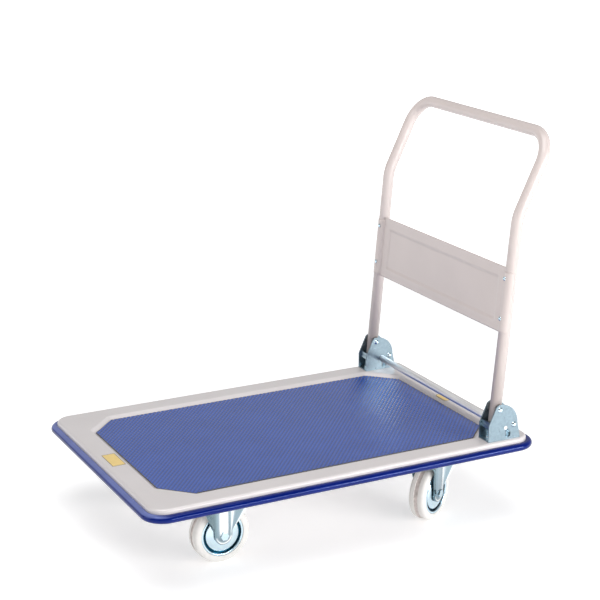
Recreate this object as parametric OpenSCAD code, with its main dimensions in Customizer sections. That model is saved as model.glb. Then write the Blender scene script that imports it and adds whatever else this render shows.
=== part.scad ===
// Flatbed platform truck: pressed steel deck with a recessed mat and a wrap-round bumper,
// a folding tube handle locked by a foot bar, two fixed casters and two swivel casters.
// Millimetres, +Z up. The origin is on the floor under the middle of the truck's outer box.
// +X points to the handle end. Left is the -Y side, as seen by a person who pushes.

/* [Deck] */
// Length of the pressed steel deck, without the bumper
deck_l = 882; // [760:1:1000]
// Width of the pressed steel deck, without the bumper
deck_w = 582; // [520:1:700]
// Corner radius of the deck, seen from above
deck_r = 36; // [28:1:50]
// Thickness of the deck's sheet
deck_sheet = 1.6; // [1.2:0.1:2.2]
// Outer radius of the rounded edge between the rim and the skirt
edge_r = 6; // [4:0.5:8]
// Depth of the skirt, from the rim's top to the underside of its flange
skirt_d = 18.6; // [16:0.2:24]
// Width of the flange that carries the bumper
flange_w = 9; // [7:0.5:9.5]
// Width of the flat rim round the recess
rim_w = 47; // [44:1:60]
// Width of the sloping wall of the recess
bevel_w = 10; // [6:1:14]
// Depth of the recess below the rim
recess_d = 8; // [5:0.5:10]

/* [Mat] */
// Thickness of the mat
mat_t = 2.5; // [1.5:0.5:4]
// Length of each corner cut, along the deck and across it
mat_cut = 58; // [40:1:80]
// Gap between the mat and the foot of the recess wall
mat_gap = 1; // [0.5:0.25:2]

/* [Bumper] */
// How far the bumper stands out from the deck
bumper_out = 14; // [12:0.5:18]
// Height of the bumper
bumper_h = 16; // [13:0.5:20]

/* [Channels under the deck] */
// Depth of the channels that carry the casters
channel_d = 28.4; // [22:0.2:40]
// Thickness of the channels' sheet
channel_t = 2; // [1.5:0.25:3]
// Width of each foot of a channel
channel_foot = 14; // [10:1:20]
// How far a cross channel runs past the caster plate
channel_past = 20; // [10:1:28]
// Inside width of the lengthwise channel
centre_channel_w = 60; // [40:1:100]
// Depth of the lengthwise channel
centre_channel_d = 18; // [12:1:22]

/* [Wheels] */
// Diameter of the wheels
wheel_d = 125; // [110:1:150]
// Width of the tyres
wheel_w = 37.5; // [32:0.5:44]
// Diameter of the rims
rim_d = 95; // [86:1:100]
// Radius of the tyres' shoulders
tyre_shoulder = 8; // [5:0.5:10]
// Width of the groove round the tread
tread_groove_w = 9; // [5:0.5:11]
// Depth of the groove round the tread
tread_groove_d = 2; // [1:0.25:3]
// Width of the rolled lip of a rim
rim_lip_w = 5; // [4:0.5:7]
// Width of the deep ring groove inside the lip
rim_groove_w = 5; // [3:0.5:6]
// Depth of the ring groove
rim_groove_d = 7; // [4:0.5:8]
// Height of the dished disc over the side of the tyre
disc_dome = 1; // [0:0.25:1.5]
// Outside diameter of the wheel bearings
bearing_d = 30; // [28:1:34]
// Width of a wheel bearing
bearing_w = 8; // [7:0.5:10]
// Diameter of the axle bolts
axle_d = 10; // [8:0.5:12]
// Outside diameter of the sleeve that the bearings run on
sleeve_d = 18; // [16:0.5:20]

/* [Casters] */
// Distance of the fixed axles from the front edge of the deck
fixed_inset = 199; // [150:1:240]
// Distance of the swivel pins from the rear edge of the deck
swivel_inset = 153; // [130:1:200]
// Distance of the casters' centres from the side edges of the deck
side_inset = 136; // [120:1:170]
// Height of the caster plate's top above the top of the wheel
caster_rise = 35; // [34:0.5:45]
// Length of the caster plates
plate_l = 115; // [110:1:130]
// Width of the caster plates
plate_w = 100; // [96:1:115]
// Thickness of the caster plates
plate_t = 4; // [3:0.5:5]
// Spacing of the plate bolts along the truck
plate_bolts_x = 90; // [86:1:96]
// Spacing of the plate bolts across the truck
plate_bolts_y = 75; // [73:1:80]
// Thickness of the forks' sheet
fork_t = 3; // [2.5:0.25:4]
// Gap between the side of a wheel and the fork
fork_clear = 3.2; // [2.5:0.1:4]
// Width of a fork at its crown
fork_top_w = 84; // [70:1:90]
// How far the flared wings of a fork leg reach from the axle, along the wheel
wing_w = 46; // [38:1:52]
// How far the tips of those wings stand out from the leg
wing_flare = 18; // [8:1:22]
// Reach of the smaller wings of a swivel fork, on the side away from its pin
lead_wing_w = 30; // [26:1:36]
// Half the width of a fork leg, and the radius of its round end
fork_end_r = 20; // [16:0.5:22]
// Outer radius of the bend between crown and leg
fork_bend = 9; // [6:0.5:10]
// Width of the raised rib on a fork leg
rib_w = 26; // [24:1:28]
// Height of the raised rib
rib_h = 2; // [1:0.25:2.5]
// Distance of the swivel wheels' axles behind their pins
trail = 38; // [30:1:44]
// Angle that the left swivel caster is turned to
left_turn = 30; // [0:1:180]
// Angle that the right swivel caster is turned to
right_turn = 22; // [0:1:180]
// Diameter of the swivel pins
kingpin_d = 14; // [12:0.5:16]
// Diameter of the head under a swivel pin
kingpin_head_d = 24; // [22:1:28]
// Thickness of the head under a swivel pin
kingpin_head_t = 5; // [4:0.5:6]
// Diameter of the swivel balls
ball_d = 7; // [6:0.5:8]
// Radius of the circle that the balls run on
ball_circle_r = 24; // [22:0.5:26]
// Number of balls in a swivel
ball_n = 16; // [10:1:18]
// Thickness of each ball race
race_t = 5.5; // [4.5:0.25:6]
// Gap between the two races of a swivel
race_gap = 2.4; // [1.6:0.2:3]

/* [Hinge brackets] */
// Distance of the brackets' middle planes from the side edges of the deck
bracket_inset = 27.4; // [24:0.2:30]
// Distance of the brackets' front corners from the rear edge of the deck
bracket_setback = 108; // [95:1:130]
// Length of a bracket along the deck
bracket_l = 81; // [78:1:90]
// Thickness of the bracket's sheet
bracket_t = 2.5; // [2:0.25:3]
// Height of the upright part of a cheek's front edge
cheek_front_h = 36; // [30:1:42]
// Radius of a cheek round the pivot
cheek_top_r = 11.5; // [10:0.5:14]
// Length of the flat top of a cheek behind the pivot
cheek_flat = 1; // [0.5:0.5:8]
// Radius of a cheek's rear shoulder
cheek_shoulder_r = 44; // [36:1:46]
// Distance of the pivot behind the bracket's front corner
pivot_x = 28; // [26:0.5:31]
// Height of the pivot above the rim
pivot_z = 69.5; // [66:0.5:76]
// Diameter of the pivot rivets
pivot_d = 10; // [8:0.5:12]
// Thickness of the washers on both sides of a handle leg
washer_t = 3.4; // [2:0.2:5]
// Diameter of those washers
washer_d = 22; // [18:1:22.5]
// Distance of the rear rivet behind the bracket's front corner
rear_rivet_x = 64; // [62:0.5:65]
// Height of the rear rivet above the rim
rear_rivet_z = 31.5; // [29:0.5:34]
// Diameter of the rear rivet's ends and of the stop's tenons
rivet_d = 7; // [6:0.5:8]
// Diameter of the rear rivet's shouldered middle
rear_sleeve_d = 11; // [10:0.5:12]
// Diameter of the rivet heads on the brackets
rivet_head_d = 13; // [12:0.5:15]
// Height of the rivet heads on the brackets
rivet_head_h = 4; // [3:0.25:5]
// Thickness of the stop bar in front of a handle leg
stop_t = 6; // [5:0.5:6.5]
// Height of the stop bar
stop_h = 14; // [11:0.5:15]
// Diameter of the bracket bolts and of the caster bolts
bolt_d = 8; // [6:0.5:8]

/* [Foot bar] */
// Diameter of the tube that the foot presses
bar_d = 15; // [13:0.5:17]
// Wall of that tube
bar_t = 1.5; // [1:0.25:2]
// Diameter of the pins at its ends
pin_d = 8; // [7:0.5:9]
// Length of a pin inside the tube
pin_in = 25; // [15:1:40]
// Distance of the bar behind the bracket's front corner
bar_x = 43.5; // [43:0.5:45]
// Height of the bar above the rim
bar_z = 27; // [26:0.5:28]
// Travel of the bar along its slots
bar_travel = 16; // [12:0.5:17]
// Slope of the slots, from upright
slot_slope = 22; // [15:1:25]
// Diameter of the wide lower end of the slots
slot_foot_d = 14; // [12:0.5:15]
// Wire of the return springs
spring_wire = 1.6; // [1.2:0.1:2]
// Diameter of a return spring's lowest turn
spring_foot_d = 17; // [15:0.5:18]
// Diameter of a return spring's top turn
spring_top_d = 9; // [8:0.5:11]
// Number of turns in a return spring
spring_turns = 4; // [3:0.5:5]

/* [Handle] */
// Outside diameter of the handle tube
tube_d = 25.4; // [22:0.2:28]
// Wall of the handle tube
tube_t = 1.6; // [1.2:0.1:2.5]
// Lean of the legs to the rear
lean = 5.3; // [3:0.1:7]
// Lean of the upper part to the rear
top_lean = 25.8; // [20:0.2:30]
// Length of a leg from the pivot to the middle of its bend
leg_l = 415; // [350:1:460]
// Length of the upper part from that bend to the top bar
upper_l = 184; // [150:1:220]
// Radius of the bend in a leg, at the tube's centre
bend_r = 90; // [60:1:120]
// Radius of the top corners, at the tube's centre
corner_r = 62; // [45:1:80]
// Length of a leg below the pivot, with its plug
foot_l = 36; // [34:0.5:36.5]
// Thickness of the flange of a foot plug
plug_flange = 2; // [1:0.5:3]
// Depth of a foot plug inside the tube
plug_in = 14; // [10:1:18]

/* [Handle panel] */
// Height of the panel
panel_h = 141; // [110:1:170]
// Distance of the panel's lower edge from the pivot, along the legs
panel_up = 170; // [150:1:200]
// Thickness of the panel's sheet
panel_t = 1.2; // [0.8:0.1:1.6]
// How much shorter the wrapped ends are than the panel, at each edge
tab_relief = 4; // [2:0.5:8]
// Width of the flat border round the pressed field
field_border = 20; // [16:1:30]
// Distance of the pressed field from the legs' centres
field_end = 28; // [22:1:60]
// Depth of the pressed field
field_d = 2.5; // [1.5:0.25:3.5]
// Width of the field's sloping wall
field_wall = 6; // [4:0.5:10]
// Distance of the rivets from the panel's edges
panel_rivet_in = 27; // [20:1:40]
// Diameter of the panel rivets
panel_rivet_d = 4.8; // [4:0.2:6]
// Diameter of the panel rivets' heads
panel_rivet_head = 9; // [8:0.5:11]

/* [Hidden] */
$fn = 64;
cream = [0.84, 0.81, 0.79];
zinc = [0.72, 0.76, 0.79];
dark_steel = [0.45, 0.46, 0.48];
navy = [0.05, 0.13, 0.52];
mat_blue = [0.26, 0.33, 0.58];
tyre_white = [0.92, 0.92, 0.90];
nylon = [0.80, 0.80, 0.78];

// Clearances
running = 0.05;
gap = 0.3;
seat = 0.1;
hole_play = 0.4;
eps = 0.5;
weld_sink = 0.5;
run_in_bite = 0.1;

// Heights
axle_z = wheel_d / 2;
caster_h = wheel_d + caster_rise;
floor_z = caster_h + channel_d + deck_sheet;
deck_h = floor_z + recess_d;
flange_z = deck_h - skirt_d;
bumper_z = flange_z + deck_sheet / 2 - bumper_h / 2;

// Recess and mat
floor_in = rim_w + bevel_w;
floor_l = deck_l - 2 * floor_in;
floor_w = deck_w - 2 * floor_in;
mat_l = floor_l - 2 * mat_gap;
mat_w = floor_w - 2 * mat_gap;
cut_growth = 2 - sqrt(2);
floor_cut = mat_cut + mat_gap * cut_growth;

// Casters
fixed_x = -deck_l / 2 + fixed_inset;
swivel_x = deck_l / 2 - swivel_inset;
caster_y = deck_w / 2 - side_inset;
fork_in = wheel_w / 2 + fork_clear;
fork_out = fork_in + fork_t;
plate_z = caster_h - plate_t;
upper_race_z = plate_z - race_t;
ball_z = upper_race_z - race_gap / 2;
lower_race_z = upper_race_z - race_gap - race_t;
crown_z = lower_race_z - fork_t;
crown_d = fork_bend + 2;
swivel_crown = fork_top_w / 2 - 8;
wing_lap = 3;
race_in_r = ball_circle_r - 7;
race_out_r = ball_circle_r + 7;
shield_t = 2;
plate_room = 5;
plate_corner_r = 10;
cross_web_w = plate_l + 2 * plate_room;
cross_l = 2 * (caster_y + plate_w / 2 + channel_past);
centre_l = swivel_x - fixed_x - cross_web_w - 2 * channel_t - 2 * channel_foot;

// Fasteners
hex = 2 / sqrt(3);
bolt_head_w = 1.6 * bolt_d;
bolt_head_t = 0.66 * bolt_d;
nut_t = 0.8 * bolt_d;
thread_past = 2;
axle_head_w = 1.6 * axle_d;
axle_head_t = 0.4 * axle_d;
axle_nut_t = 0.5 * axle_d;

// Handle and hinge, in the middle plane of the truck
span = deck_w - 2 * bracket_inset;
bracket_x = deck_l / 2 - bracket_setback;
hinge_x = bracket_x + pivot_x;
hinge_z = deck_h + pivot_z;
tube_r = tube_d / 2;
bracket_gap = tube_d + 2 * (washer_t + gap + seat);
cheek_in = bracket_gap / 2;
cheek_out = cheek_in + bracket_t;
bend_angle = top_lean - lean;
bend_cut = bend_r * tan(bend_angle / 2);
bend_swell = 0.05;
bend_lap = 1;
bend_x = hinge_x + leg_l * sin(lean);
bend_z = hinge_z + leg_l * cos(lean);
top_x = bend_x + upper_l * sin(top_lean);
top_z = bend_z + upper_l * cos(top_lean);
panel_x = tube_r + seat;
stop_up = foot_l + 8 - stop_h;
bolt_front_x = 14;
bolt_rear_in = 10;
bolt_rear_x = bracket_l - bolt_rear_in;

// Foot bar
bar_dir = [sin(slot_slope), 0, -cos(slot_slope)];
bar_half = span / 2 - cheek_out - gap;
spring_foot_x = bar_x + tan(slot_slope) * (bar_z - bracket_t);
spring_h = bar_z - pin_d / 2 - gap - bracket_t - spring_wire;

// The outer box runs from the bumper's front to the back of the top bar
middle_x = (top_x + tube_r - deck_l / 2 - bumper_out) / 2;

// Places, and the frames that pieces are drawn in

// From the deck's middle to the middle of the outer box
module placed() {
    translate([-middle_x, 0, 0]) children();
}

// A bracket's own frame: front lower corner of its middle plane, on the rim
module at_bracket(side) {
    placed() translate([bracket_x, side * span / 2, deck_h]) children();
}

// A handle leg's own frame: the pivot, with +Z up along the leg
module at_leg(side) {
    placed() translate([hinge_x, side * span / 2, hinge_z]) rotate([0, lean, 0]) children();
}

// The upper part's own frame: the bend of a leg, with +Z up along the upper part
module at_upper(side) {
    placed() translate([bend_x, side * span / 2, bend_z]) rotate([0, top_lean, 0]) children();
}

// A fixed caster's own frame: the floor under its wheel, with the outer side towards -Y
module at_fixed(side) {
    placed() translate([fixed_x, side * caster_y, 0]) rotate([0, 0, side < 0 ? 0 : 180]) children();
}

// A swivel pin's own frame: the floor under the pin
module at_swivel(side) {
    placed() translate([swivel_x, side * caster_y, 0]) children();
}

// A swivel caster turned to its angle, with its wheel behind the pin
module at_turned(side) {
    at_swivel(side) rotate([0, 0, side < 0 ? left_turn : right_turn]) children();
}

// From a caster's frame to its axle, with +Z along the axle to the -Y side
module at_axle(x) {
    translate([x, 0, axle_z]) rotate([90, 0, 0]) children();
}

// Shapes that repeat

// A quarter of a disc, from +X to +Y
module quarter(r) {
    intersection() {
        circle(r);
        square(r);
    }
}

// A slab with round corners
module slab(l, w, r, t) {
    translate([-l / 2 + r, -w / 2, 0]) cube([l - 2 * r, w, t]);
    translate([-l / 2, -w / 2 + r, 0]) cube([l, w - 2 * r, t]);
    for (k = [0:3])
        let (sx = k == 0 || k == 3 ? 1 : -1, sy = k < 2 ? 1 : -1)
            translate([sx * (l / 2 - r), sy * (w / 2 - r), 0])
                rotate([0, 0, 90 * k]) rotate_extrude(angle = 90) square([r, t]);
}

// A profile carried round a rectangle with round corners: X is outwards from its side, Y is up
module round_the_edge(l, w, r) {
    for (k = [0:3])
        let (along = k % 2 == 0 ? l : w, out = k % 2 == 0 ? w : l)
            rotate([0, 0, 90 * k]) {
                translate([-along / 2 + r, out / 2, 0]) rotate([90, 0, 90])
                    linear_extrude(along - 2 * r) children();
                translate([along / 2 - r, out / 2 - r, 0])
                    rotate_extrude(angle = 90) translate([r, 0]) children();
            }
}

// The points of a rectangle with its four corners cut at 45 degrees
function cut_rectangle(l, w, c) =
    [[-l / 2, -w / 2 + c], [-l / 2 + c, -w / 2], [l / 2 - c, -w / 2], [l / 2, -w / 2 + c],
     [l / 2, w / 2 - c], [l / 2 - c, w / 2], [-l / 2 + c, w / 2], [-l / 2, w / 2 - c]];

// Where a line from p runs into a circle along its edge, a hair inside it, to the right (1) or left (-1) of p
function run_in(p, c, r, s) =
    let (q = r - run_in_bite, turn = atan2(p.y - c.y, p.x - c.x) - s * acos(q / norm(p - c)))
        c + q * [cos(turn), sin(turn)];

// Points of an outline lifted to a height
function lifted(points, z) = [for (p = points) [p.x, p.y, z]];

// A solid between two outlines with the same number of points, both anticlockwise seen from above
module between(low, high) {
    n = len(low);
    walls = [for (i = [0:n - 1]) let (j = (i + 1) % n) [i, i + n, j + n, j]];
    floor_face = [for (i = [0:n - 1]) i];
    roof_face = [for (i = [n - 1:-1:0]) i + n];
    polyhedron(concat(low, high), concat([floor_face, roof_face], walls));
}

// A hat-shaped channel along X, open upwards, with its web at the bottom
module hat_channel(l, web, d) {
    side = web / 2 + channel_t;
    foot = side + channel_foot;
    translate([-l / 2, 0, 0]) rotate([90, 0, 90]) linear_extrude(l)
        polygon([[-side, 0], [side, 0], [side, d - channel_t], [foot, d - channel_t], [foot, d],
                 [web / 2, d], [web / 2, channel_t], [-web / 2, channel_t], [-web / 2, d],
                 [-foot, d], [-foot, d - channel_t], [-side, d - channel_t]]);
}

// A domed rivet head on the plane z = 0
module dome(d, h) {
    ball_r = (d * d / 4 + h * h) / (2 * h);
    rotate_extrude() intersection() {
        translate([0, h - ball_r]) circle(ball_r);
        square([d / 2, h]);
    }
}

// A hexagon head or nut, with the width across its flats
module hexagon(w, t) {
    cylinder(d = w * hex, h = t, $fn = 6);
}

// A nut with its bore
module nut(w, t, bore) {
    difference() {
        hexagon(w, t);
        translate([0, 0, -eps]) cylinder(d = bore, h = t + 2 * eps);
    }
}

// A rivet along Y through a bracket, with a thicker middle between the cheeks
module bracket_rivet(d, middle_d) {
    rotate([90, 0, 0]) {
        cylinder(d = d, h = 2 * cheek_out, center = true);
        cylinder(d = middle_d, h = bracket_gap, center = true);
        for (s = [0, 180])
            rotate([s, 0, 0]) translate([0, 0, cheek_out]) dome(rivet_head_d, rivet_head_h);
    }
}

// The points of a caster plate's bolts
module plate_bolts() {
    for (x = [-1, 1], y = [-1, 1])
        translate([x * plate_bolts_x / 2, y * plate_bolts_y / 2, 0]) children();
}

// Every caster's plate bolts
module all_plate_bolts() {
    for (side = [-1, 1]) {
        at_fixed(side) plate_bolts() children();
        at_swivel(side) plate_bolts() children();
    }
}

// The points of a bracket's bolts
module bracket_bolt_points() {
    for (side = [-1, 1], x = [bolt_front_x, bolt_rear_x]) at_bracket(side) translate([x, 0, 0]) children();
}

// Deck

// Section of the rounded edge, skirt and flange, with the deck's outer face at X = 0
module edge_section() {
    translate([-edge_r, deck_h - edge_r]) difference() {
        quarter(edge_r);
        circle(edge_r - deck_sheet);
    }
    translate([-deck_sheet, flange_z]) square([deck_sheet, deck_h - edge_r - flange_z]);
    translate([-deck_sheet, flange_z]) square([deck_sheet + flange_w, deck_sheet]);
}

// Outline of the recess at a height over its floor, pushed out by a distance
function recess_outline(z, out) =
    let (grow = out + bevel_w * z / recess_d)
        lifted(cut_rectangle(floor_l + 2 * grow, floor_w + 2 * grow, floor_cut + cut_growth * grow),
               floor_z + z);

// The recess as a solid between two heights over its floor
module recess(low, high, out) {
    between(recess_outline(low, out), recess_outline(high, out));
}

module deck_pan() {
    wall = deck_sheet * norm([bevel_w, recess_d]) / recess_d;
    color(cream) difference() {
        placed() difference() {
            union() {
                translate([0, 0, deck_h - deck_sheet])
                    slab(deck_l - 2 * edge_r, deck_w - 2 * edge_r, deck_r - edge_r, deck_sheet);
                round_the_edge(deck_l, deck_w, deck_r) edge_section();
                recess(-deck_sheet, recess_d - deck_sheet / 2, wall);
            }
            recess(0, recess_d + eps, 0);
        }
        bracket_bolt_points() cylinder(d = bolt_d + 2 * hole_play, h = 8 * deck_sheet, center = true);
    }
}

module deck_mat() {
    color(mat_blue) placed() translate([0, 0, floor_z]) linear_extrude(mat_t)
        polygon(cut_rectangle(mat_l, mat_w, mat_cut));
}

// Section of the bumper: flat back and ledge, round nose, and the slot that grips the flange
module bumper_section() {
    nose = bumper_h / 2;
    difference() {
        translate([seat, bumper_z]) {
            square([bumper_out - nose - seat, bumper_h]);
            translate([bumper_out - nose - seat, nose]) intersection() {
                circle(nose);
                translate([0, -nose]) square([nose, bumper_h]);
            }
        }
        translate([0, flange_z - seat]) square([flange_w + seat, deck_sheet + 2 * seat]);
    }
}

module edge_bumper() {
    color(navy) placed() round_the_edge(deck_l, deck_w, deck_r) bumper_section();
}

// Channels

module cross_channel(x) {
    color(cream) difference() {
        placed() translate([x, 0, caster_h]) rotate([0, 0, 90]) hat_channel(cross_l, cross_web_w, channel_d);
        all_plate_bolts() translate([0, 0, caster_h - eps])
            cylinder(d = bolt_d + 2 * hole_play, h = channel_t + 2 * eps);
    }
}

module centre_channel() {
    color(cream) placed()
        translate([(fixed_x + swivel_x) / 2, 0, floor_z - deck_sheet - centre_channel_d])
            hat_channel(centre_l, centre_channel_w, centre_channel_d);
}

// Hinge brackets

// Outline of a cheek, from its front lower corner
module cheek_outline() {
    top = pivot_z + cheek_top_r;
    front = run_in([0, cheek_front_h], [pivot_x, pivot_z], cheek_top_r, 1);
    flat_x = pivot_x + cheek_flat;
    shoulder_z = top - cheek_shoulder_r;
    polygon([[0, 0], [0, cheek_front_h], front, [pivot_x, pivot_z], [pivot_x, top], [flat_x, top],
             [flat_x, shoulder_z], [flat_x + cheek_shoulder_r, shoulder_z], [bracket_l, 0]]);
    translate([pivot_x, pivot_z]) circle(cheek_top_r);
    translate([flat_x, shoulder_z]) quarter(cheek_shoulder_r);
}

// The slot that the foot bar's pin slides in, with its wide lower end
module bar_slot() {
    width = pin_d + 2 * gap;
    run = width - 2 * run_in_bite;
    low = bar_travel * [bar_dir.x, bar_dir.z];
    translate([bar_x, bar_z]) {
        circle(d = width);
        rotate(90 + slot_slope) translate([-bar_travel, -run / 2]) square([bar_travel, run]);
        translate(low) circle(d = slot_foot_d);
    }
}

module hinge_bracket(side) {
    color(zinc) at_bracket(side) difference() {
        union() {
            for (s = [-1, 1])
                translate([0, s * (cheek_in + bracket_t / 2), 0]) rotate([90, 0, 0])
                    linear_extrude(bracket_t, center = true) cheek_outline();
            translate([0, -cheek_in, 0]) cube([bracket_l, bracket_gap, bracket_t]);
        }
        rotate([90, 0, 0]) {
            translate([pivot_x, pivot_z, 0]) cylinder(d = pivot_d, h = 4 * cheek_out, center = true);
            translate([rear_rivet_x, rear_rivet_z, 0]) cylinder(d = rivet_d, h = 4 * cheek_out, center = true);
            linear_extrude(4 * cheek_out, center = true) bar_slot();
        }
        stop_place() rotate([90, 0, 0]) cylinder(d = rivet_d, h = 4 * cheek_out, center = true);
        for (x = [bolt_front_x, bolt_rear_x])
            translate([x, 0, -eps]) cylinder(d = bolt_d + 2 * hole_play, h = bracket_t + 2 * eps);
    }
}

// The middle of the stop bar, in a bracket's frame, turned with the leaning leg
module stop_place() {
    translate([pivot_x, 0, pivot_z]) rotate([0, lean, 0])
        translate([-tube_r - gap - stop_t / 2, 0, -stop_up - stop_h / 2]) children();
}

module stop_bar(side) {
    color(zinc) at_bracket(side) stop_place() {
        cube([stop_t, bracket_gap, stop_h], center = true);
        rotate([90, 0, 0]) cylinder(d = rivet_d, h = 2 * cheek_out + 1, center = true);
    }
}

module pivot_rivet(side) {
    color(zinc) at_bracket(side) translate([pivot_x, 0, pivot_z]) bracket_rivet(pivot_d, pivot_d);
}

module rear_rivets() {
    color(zinc) for (side = [-1, 1])
        at_bracket(side) translate([rear_rivet_x, 0, rear_rivet_z]) bracket_rivet(rivet_d, rear_sleeve_d);
}

module bracket_bolts() {
    color(zinc) bracket_bolt_points() {
        translate([0, 0, bracket_t]) hexagon(bolt_head_w, bolt_head_t);
        translate([0, 0, -deck_sheet - nut_t - thread_past])
            cylinder(d = bolt_d, h = bracket_t + deck_sheet + nut_t + thread_past);
    }
}

module bracket_nuts() {
    color(zinc) bracket_bolt_points() translate([0, 0, -deck_sheet - nut_t]) nut(bolt_head_w, nut_t, bolt_d);
}

// Foot bar and its springs

// Centre of the spring's wire at u, from 0 on the bracket's base to 1 under the pin
function spring_point(u) =
    let (r = (spring_foot_d + (spring_top_d - spring_foot_d) * u - spring_wire) / 2, a = 360 * spring_turns * u)
        [spring_foot_x + (bar_x - spring_foot_x) * u * spring_reach + r * cos(a), r * sin(a),
         bracket_t + spring_wire / 2 + spring_h * u];
// How much of the way from foot to bar the spring spans
spring_reach = spring_h / (bar_z - bracket_t);
spring_rings = ceil(8 * spring_turns);
spring_sides = 6;

// A ring of points round the wire at u
function spring_ring(u) =
    let (a = 360 * spring_turns * u, c = spring_point(u))
        [for (k = [0:spring_sides - 1])
            let (b = 360 * k / spring_sides)
                c + spring_wire / 2 * [cos(b) * cos(a), cos(b) * sin(a), sin(b)]];

// The least gap between turns of the spring, on points a half turn or more apart
spring_steps = [for (i = [0:spring_rings]) spring_point(i / spring_rings)];
spring_self_gap = min([for (i = [0:spring_rings], j = [0:spring_rings])
    if (j - i >= 4) norm(spring_steps[i] - spring_steps[j])]) - spring_wire;
echo(spring_self_gap = spring_self_gap);

module return_spring(side) {
    n = spring_sides;
    points = [for (i = [0:spring_rings]) each spring_ring(i / spring_rings)];
    walls = [for (i = [0:spring_rings - 1], k = [0:n - 1])
        let (a = i * n + k, b = i * n + (k + 1) % n) each [[a, a + n, b], [b, a + n, b + n]]];
    last = spring_rings * n;
    ends = [for (k = [1:n - 2]) each [[0, k, k + 1], [last, last + k + 1, last + k]]];
    color(zinc) at_bracket(side) polyhedron(points, concat(walls, ends));
}

module at_bar() {
    placed() translate([bracket_x + bar_x, 0, deck_h + bar_z]) rotate([90, 0, 0]) children();
}

module pedal_tube() {
    color(zinc) at_bar() difference() {
        cylinder(d = bar_d, h = 2 * bar_half, center = true);
        cylinder(d = bar_d - 2 * bar_t, h = 2 * bar_half + 2 * eps, center = true);
    }
}

module pedal_pins() {
    tip = span / 2 + cheek_out - gap;
    color(zinc) at_bar() for (s = [0, 180])
        rotate([s, 0, 0]) {
            translate([0, 0, bar_half - pin_in]) cylinder(d = bar_d - 2 * bar_t, h = pin_in);
            translate([0, 0, bar_half]) cylinder(d = pin_d, h = tip - bar_half);
        }
}

// Handle

module tube_section(swell = 0) {
    difference() {
        circle(tube_r + swell);
        circle(tube_r - tube_t - swell);
    }
}

// A straight length of tube from one height to another, run on into the bends at its ends
module tube_length(low, high) {
    translate([0, 0, low]) linear_extrude(high - low) tube_section();
}

// A bend that starts at the origin along +Z and turns towards +X, a hair thicker than the tube
module tube_bend(r, angle) {
    translate([r, 0, 0]) rotate([90, 0, 180])
        rotate_extrude(angle = angle, $fn = 96) translate([r, 0]) tube_section(bend_swell);
}

module handle_leg(side) {
    at_leg(side) {
        tube_length(plug_flange - foot_l, leg_l - bend_cut + bend_lap);
        translate([0, 0, leg_l - bend_cut]) tube_bend(bend_r, bend_angle);
    }
    at_upper(side) {
        tube_length(bend_cut - bend_lap, upper_l - corner_r + bend_lap);
        translate([0, 0, upper_l - corner_r]) rotate([0, 0, -90 * side]) tube_bend(corner_r, 90);
    }
}

module handle_tube() {
    color(cream) difference() {
        union() {
            for (side = [-1, 1]) handle_leg(side);
            placed() translate([top_x, 0, top_z]) rotate([90, 0, 0])
                tube_length(corner_r - bend_lap - span / 2, span / 2 - corner_r + bend_lap);
        }
        for (side = [-1, 1])
            at_leg(side) {
                rotate([90, 0, 0]) cylinder(d = pivot_d + 2 * running, h = 2 * tube_d, center = true);
                panel_rivet_points(side) cylinder(d = panel_rivet_d, h = 2 * tube_r);
            }
    }
}

// The rivets of one leg, just inside its wrapped end of the panel, with +Z into the tube
module panel_rivet_points(side) {
    for (z = [panel_up + panel_rivet_in, panel_up + panel_h - panel_rivet_in])
        translate([-tube_d, -side * (panel_rivet_d / 2 + hole_play), z]) rotate([0, 90, 0]) children();
}

// The pressed panel across the front of the legs, with its ends wrapped round their outer sides
module handle_panel() {
    wall = panel_t * norm([field_wall, field_d]) / field_d;
    color(cream) difference() {
        union() {
            difference() {
                in_panel_plane() union() {
                    translate([-span / 2, -panel_h / 2, 0]) cube([span, panel_h, panel_t]);
                    pressed_field(panel_t / 2, field_d + panel_t, wall);
                }
                in_panel_plane() pressed_field(-eps, field_d, 0);
            }
            for (side = [-1, 1])
                at_leg(side) translate([0, 0, panel_up + tab_relief])
                    rotate([0, 0, side < 0 ? 180 : 90])
                        rotate_extrude(angle = 90) translate([panel_x, 0])
                            square([panel_t, panel_h - 2 * tab_relief]);
        }
        for (side = [-1, 1])
            at_leg(side) panel_rivet_points(side) cylinder(d = panel_rivet_d, h = 2 * tube_r);
    }
}

// The middle of the panel's front face, with +Z to the rear and +Y up along the legs
module in_panel_plane() {
    placed() translate([hinge_x, 0, hinge_z]) rotate([0, lean, 0])
        translate([-panel_x - panel_t, 0, panel_up + panel_h / 2]) rotate([90, 0, 90]) children();
}

// Outline of the pressed field at a depth behind the panel's front, pushed out by a distance
function field_outline(z, out) =
    let (grow = out - field_wall * z / field_d,
         x = span / 2 - field_end + grow, y = panel_h / 2 - field_border + grow)
        [[-x, -y, z], [x, -y, z], [x, y, z], [-x, y, z]];

// The pressed field as a solid between two depths
module pressed_field(low, high, out) {
    between(field_outline(low, out), field_outline(high, out));
}

module panel_rivets() {
    face = tube_d - panel_x - panel_t;
    color(zinc) for (side = [-1, 1])
        at_leg(side) panel_rivet_points(side) {
            translate([0, 0, face]) rotate([180, 0, 0]) dome(panel_rivet_head, panel_rivet_d / 2);
            translate([0, 0, face]) cylinder(d = panel_rivet_d, h = panel_t + seat + 2 * tube_t);
        }
}

module foot_plugs() {
    color(nylon) for (side = [-1, 1])
        at_leg(side) translate([0, 0, -foot_l]) {
            cylinder(d = tube_d, h = plug_flange);
            translate([0, 0, plug_flange]) difference() {
                cylinder(d = tube_d - 2 * tube_t, h = plug_in);
                cylinder(d = tube_d - 6 * tube_t, h = plug_in + eps);
            }
        }
}

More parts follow.
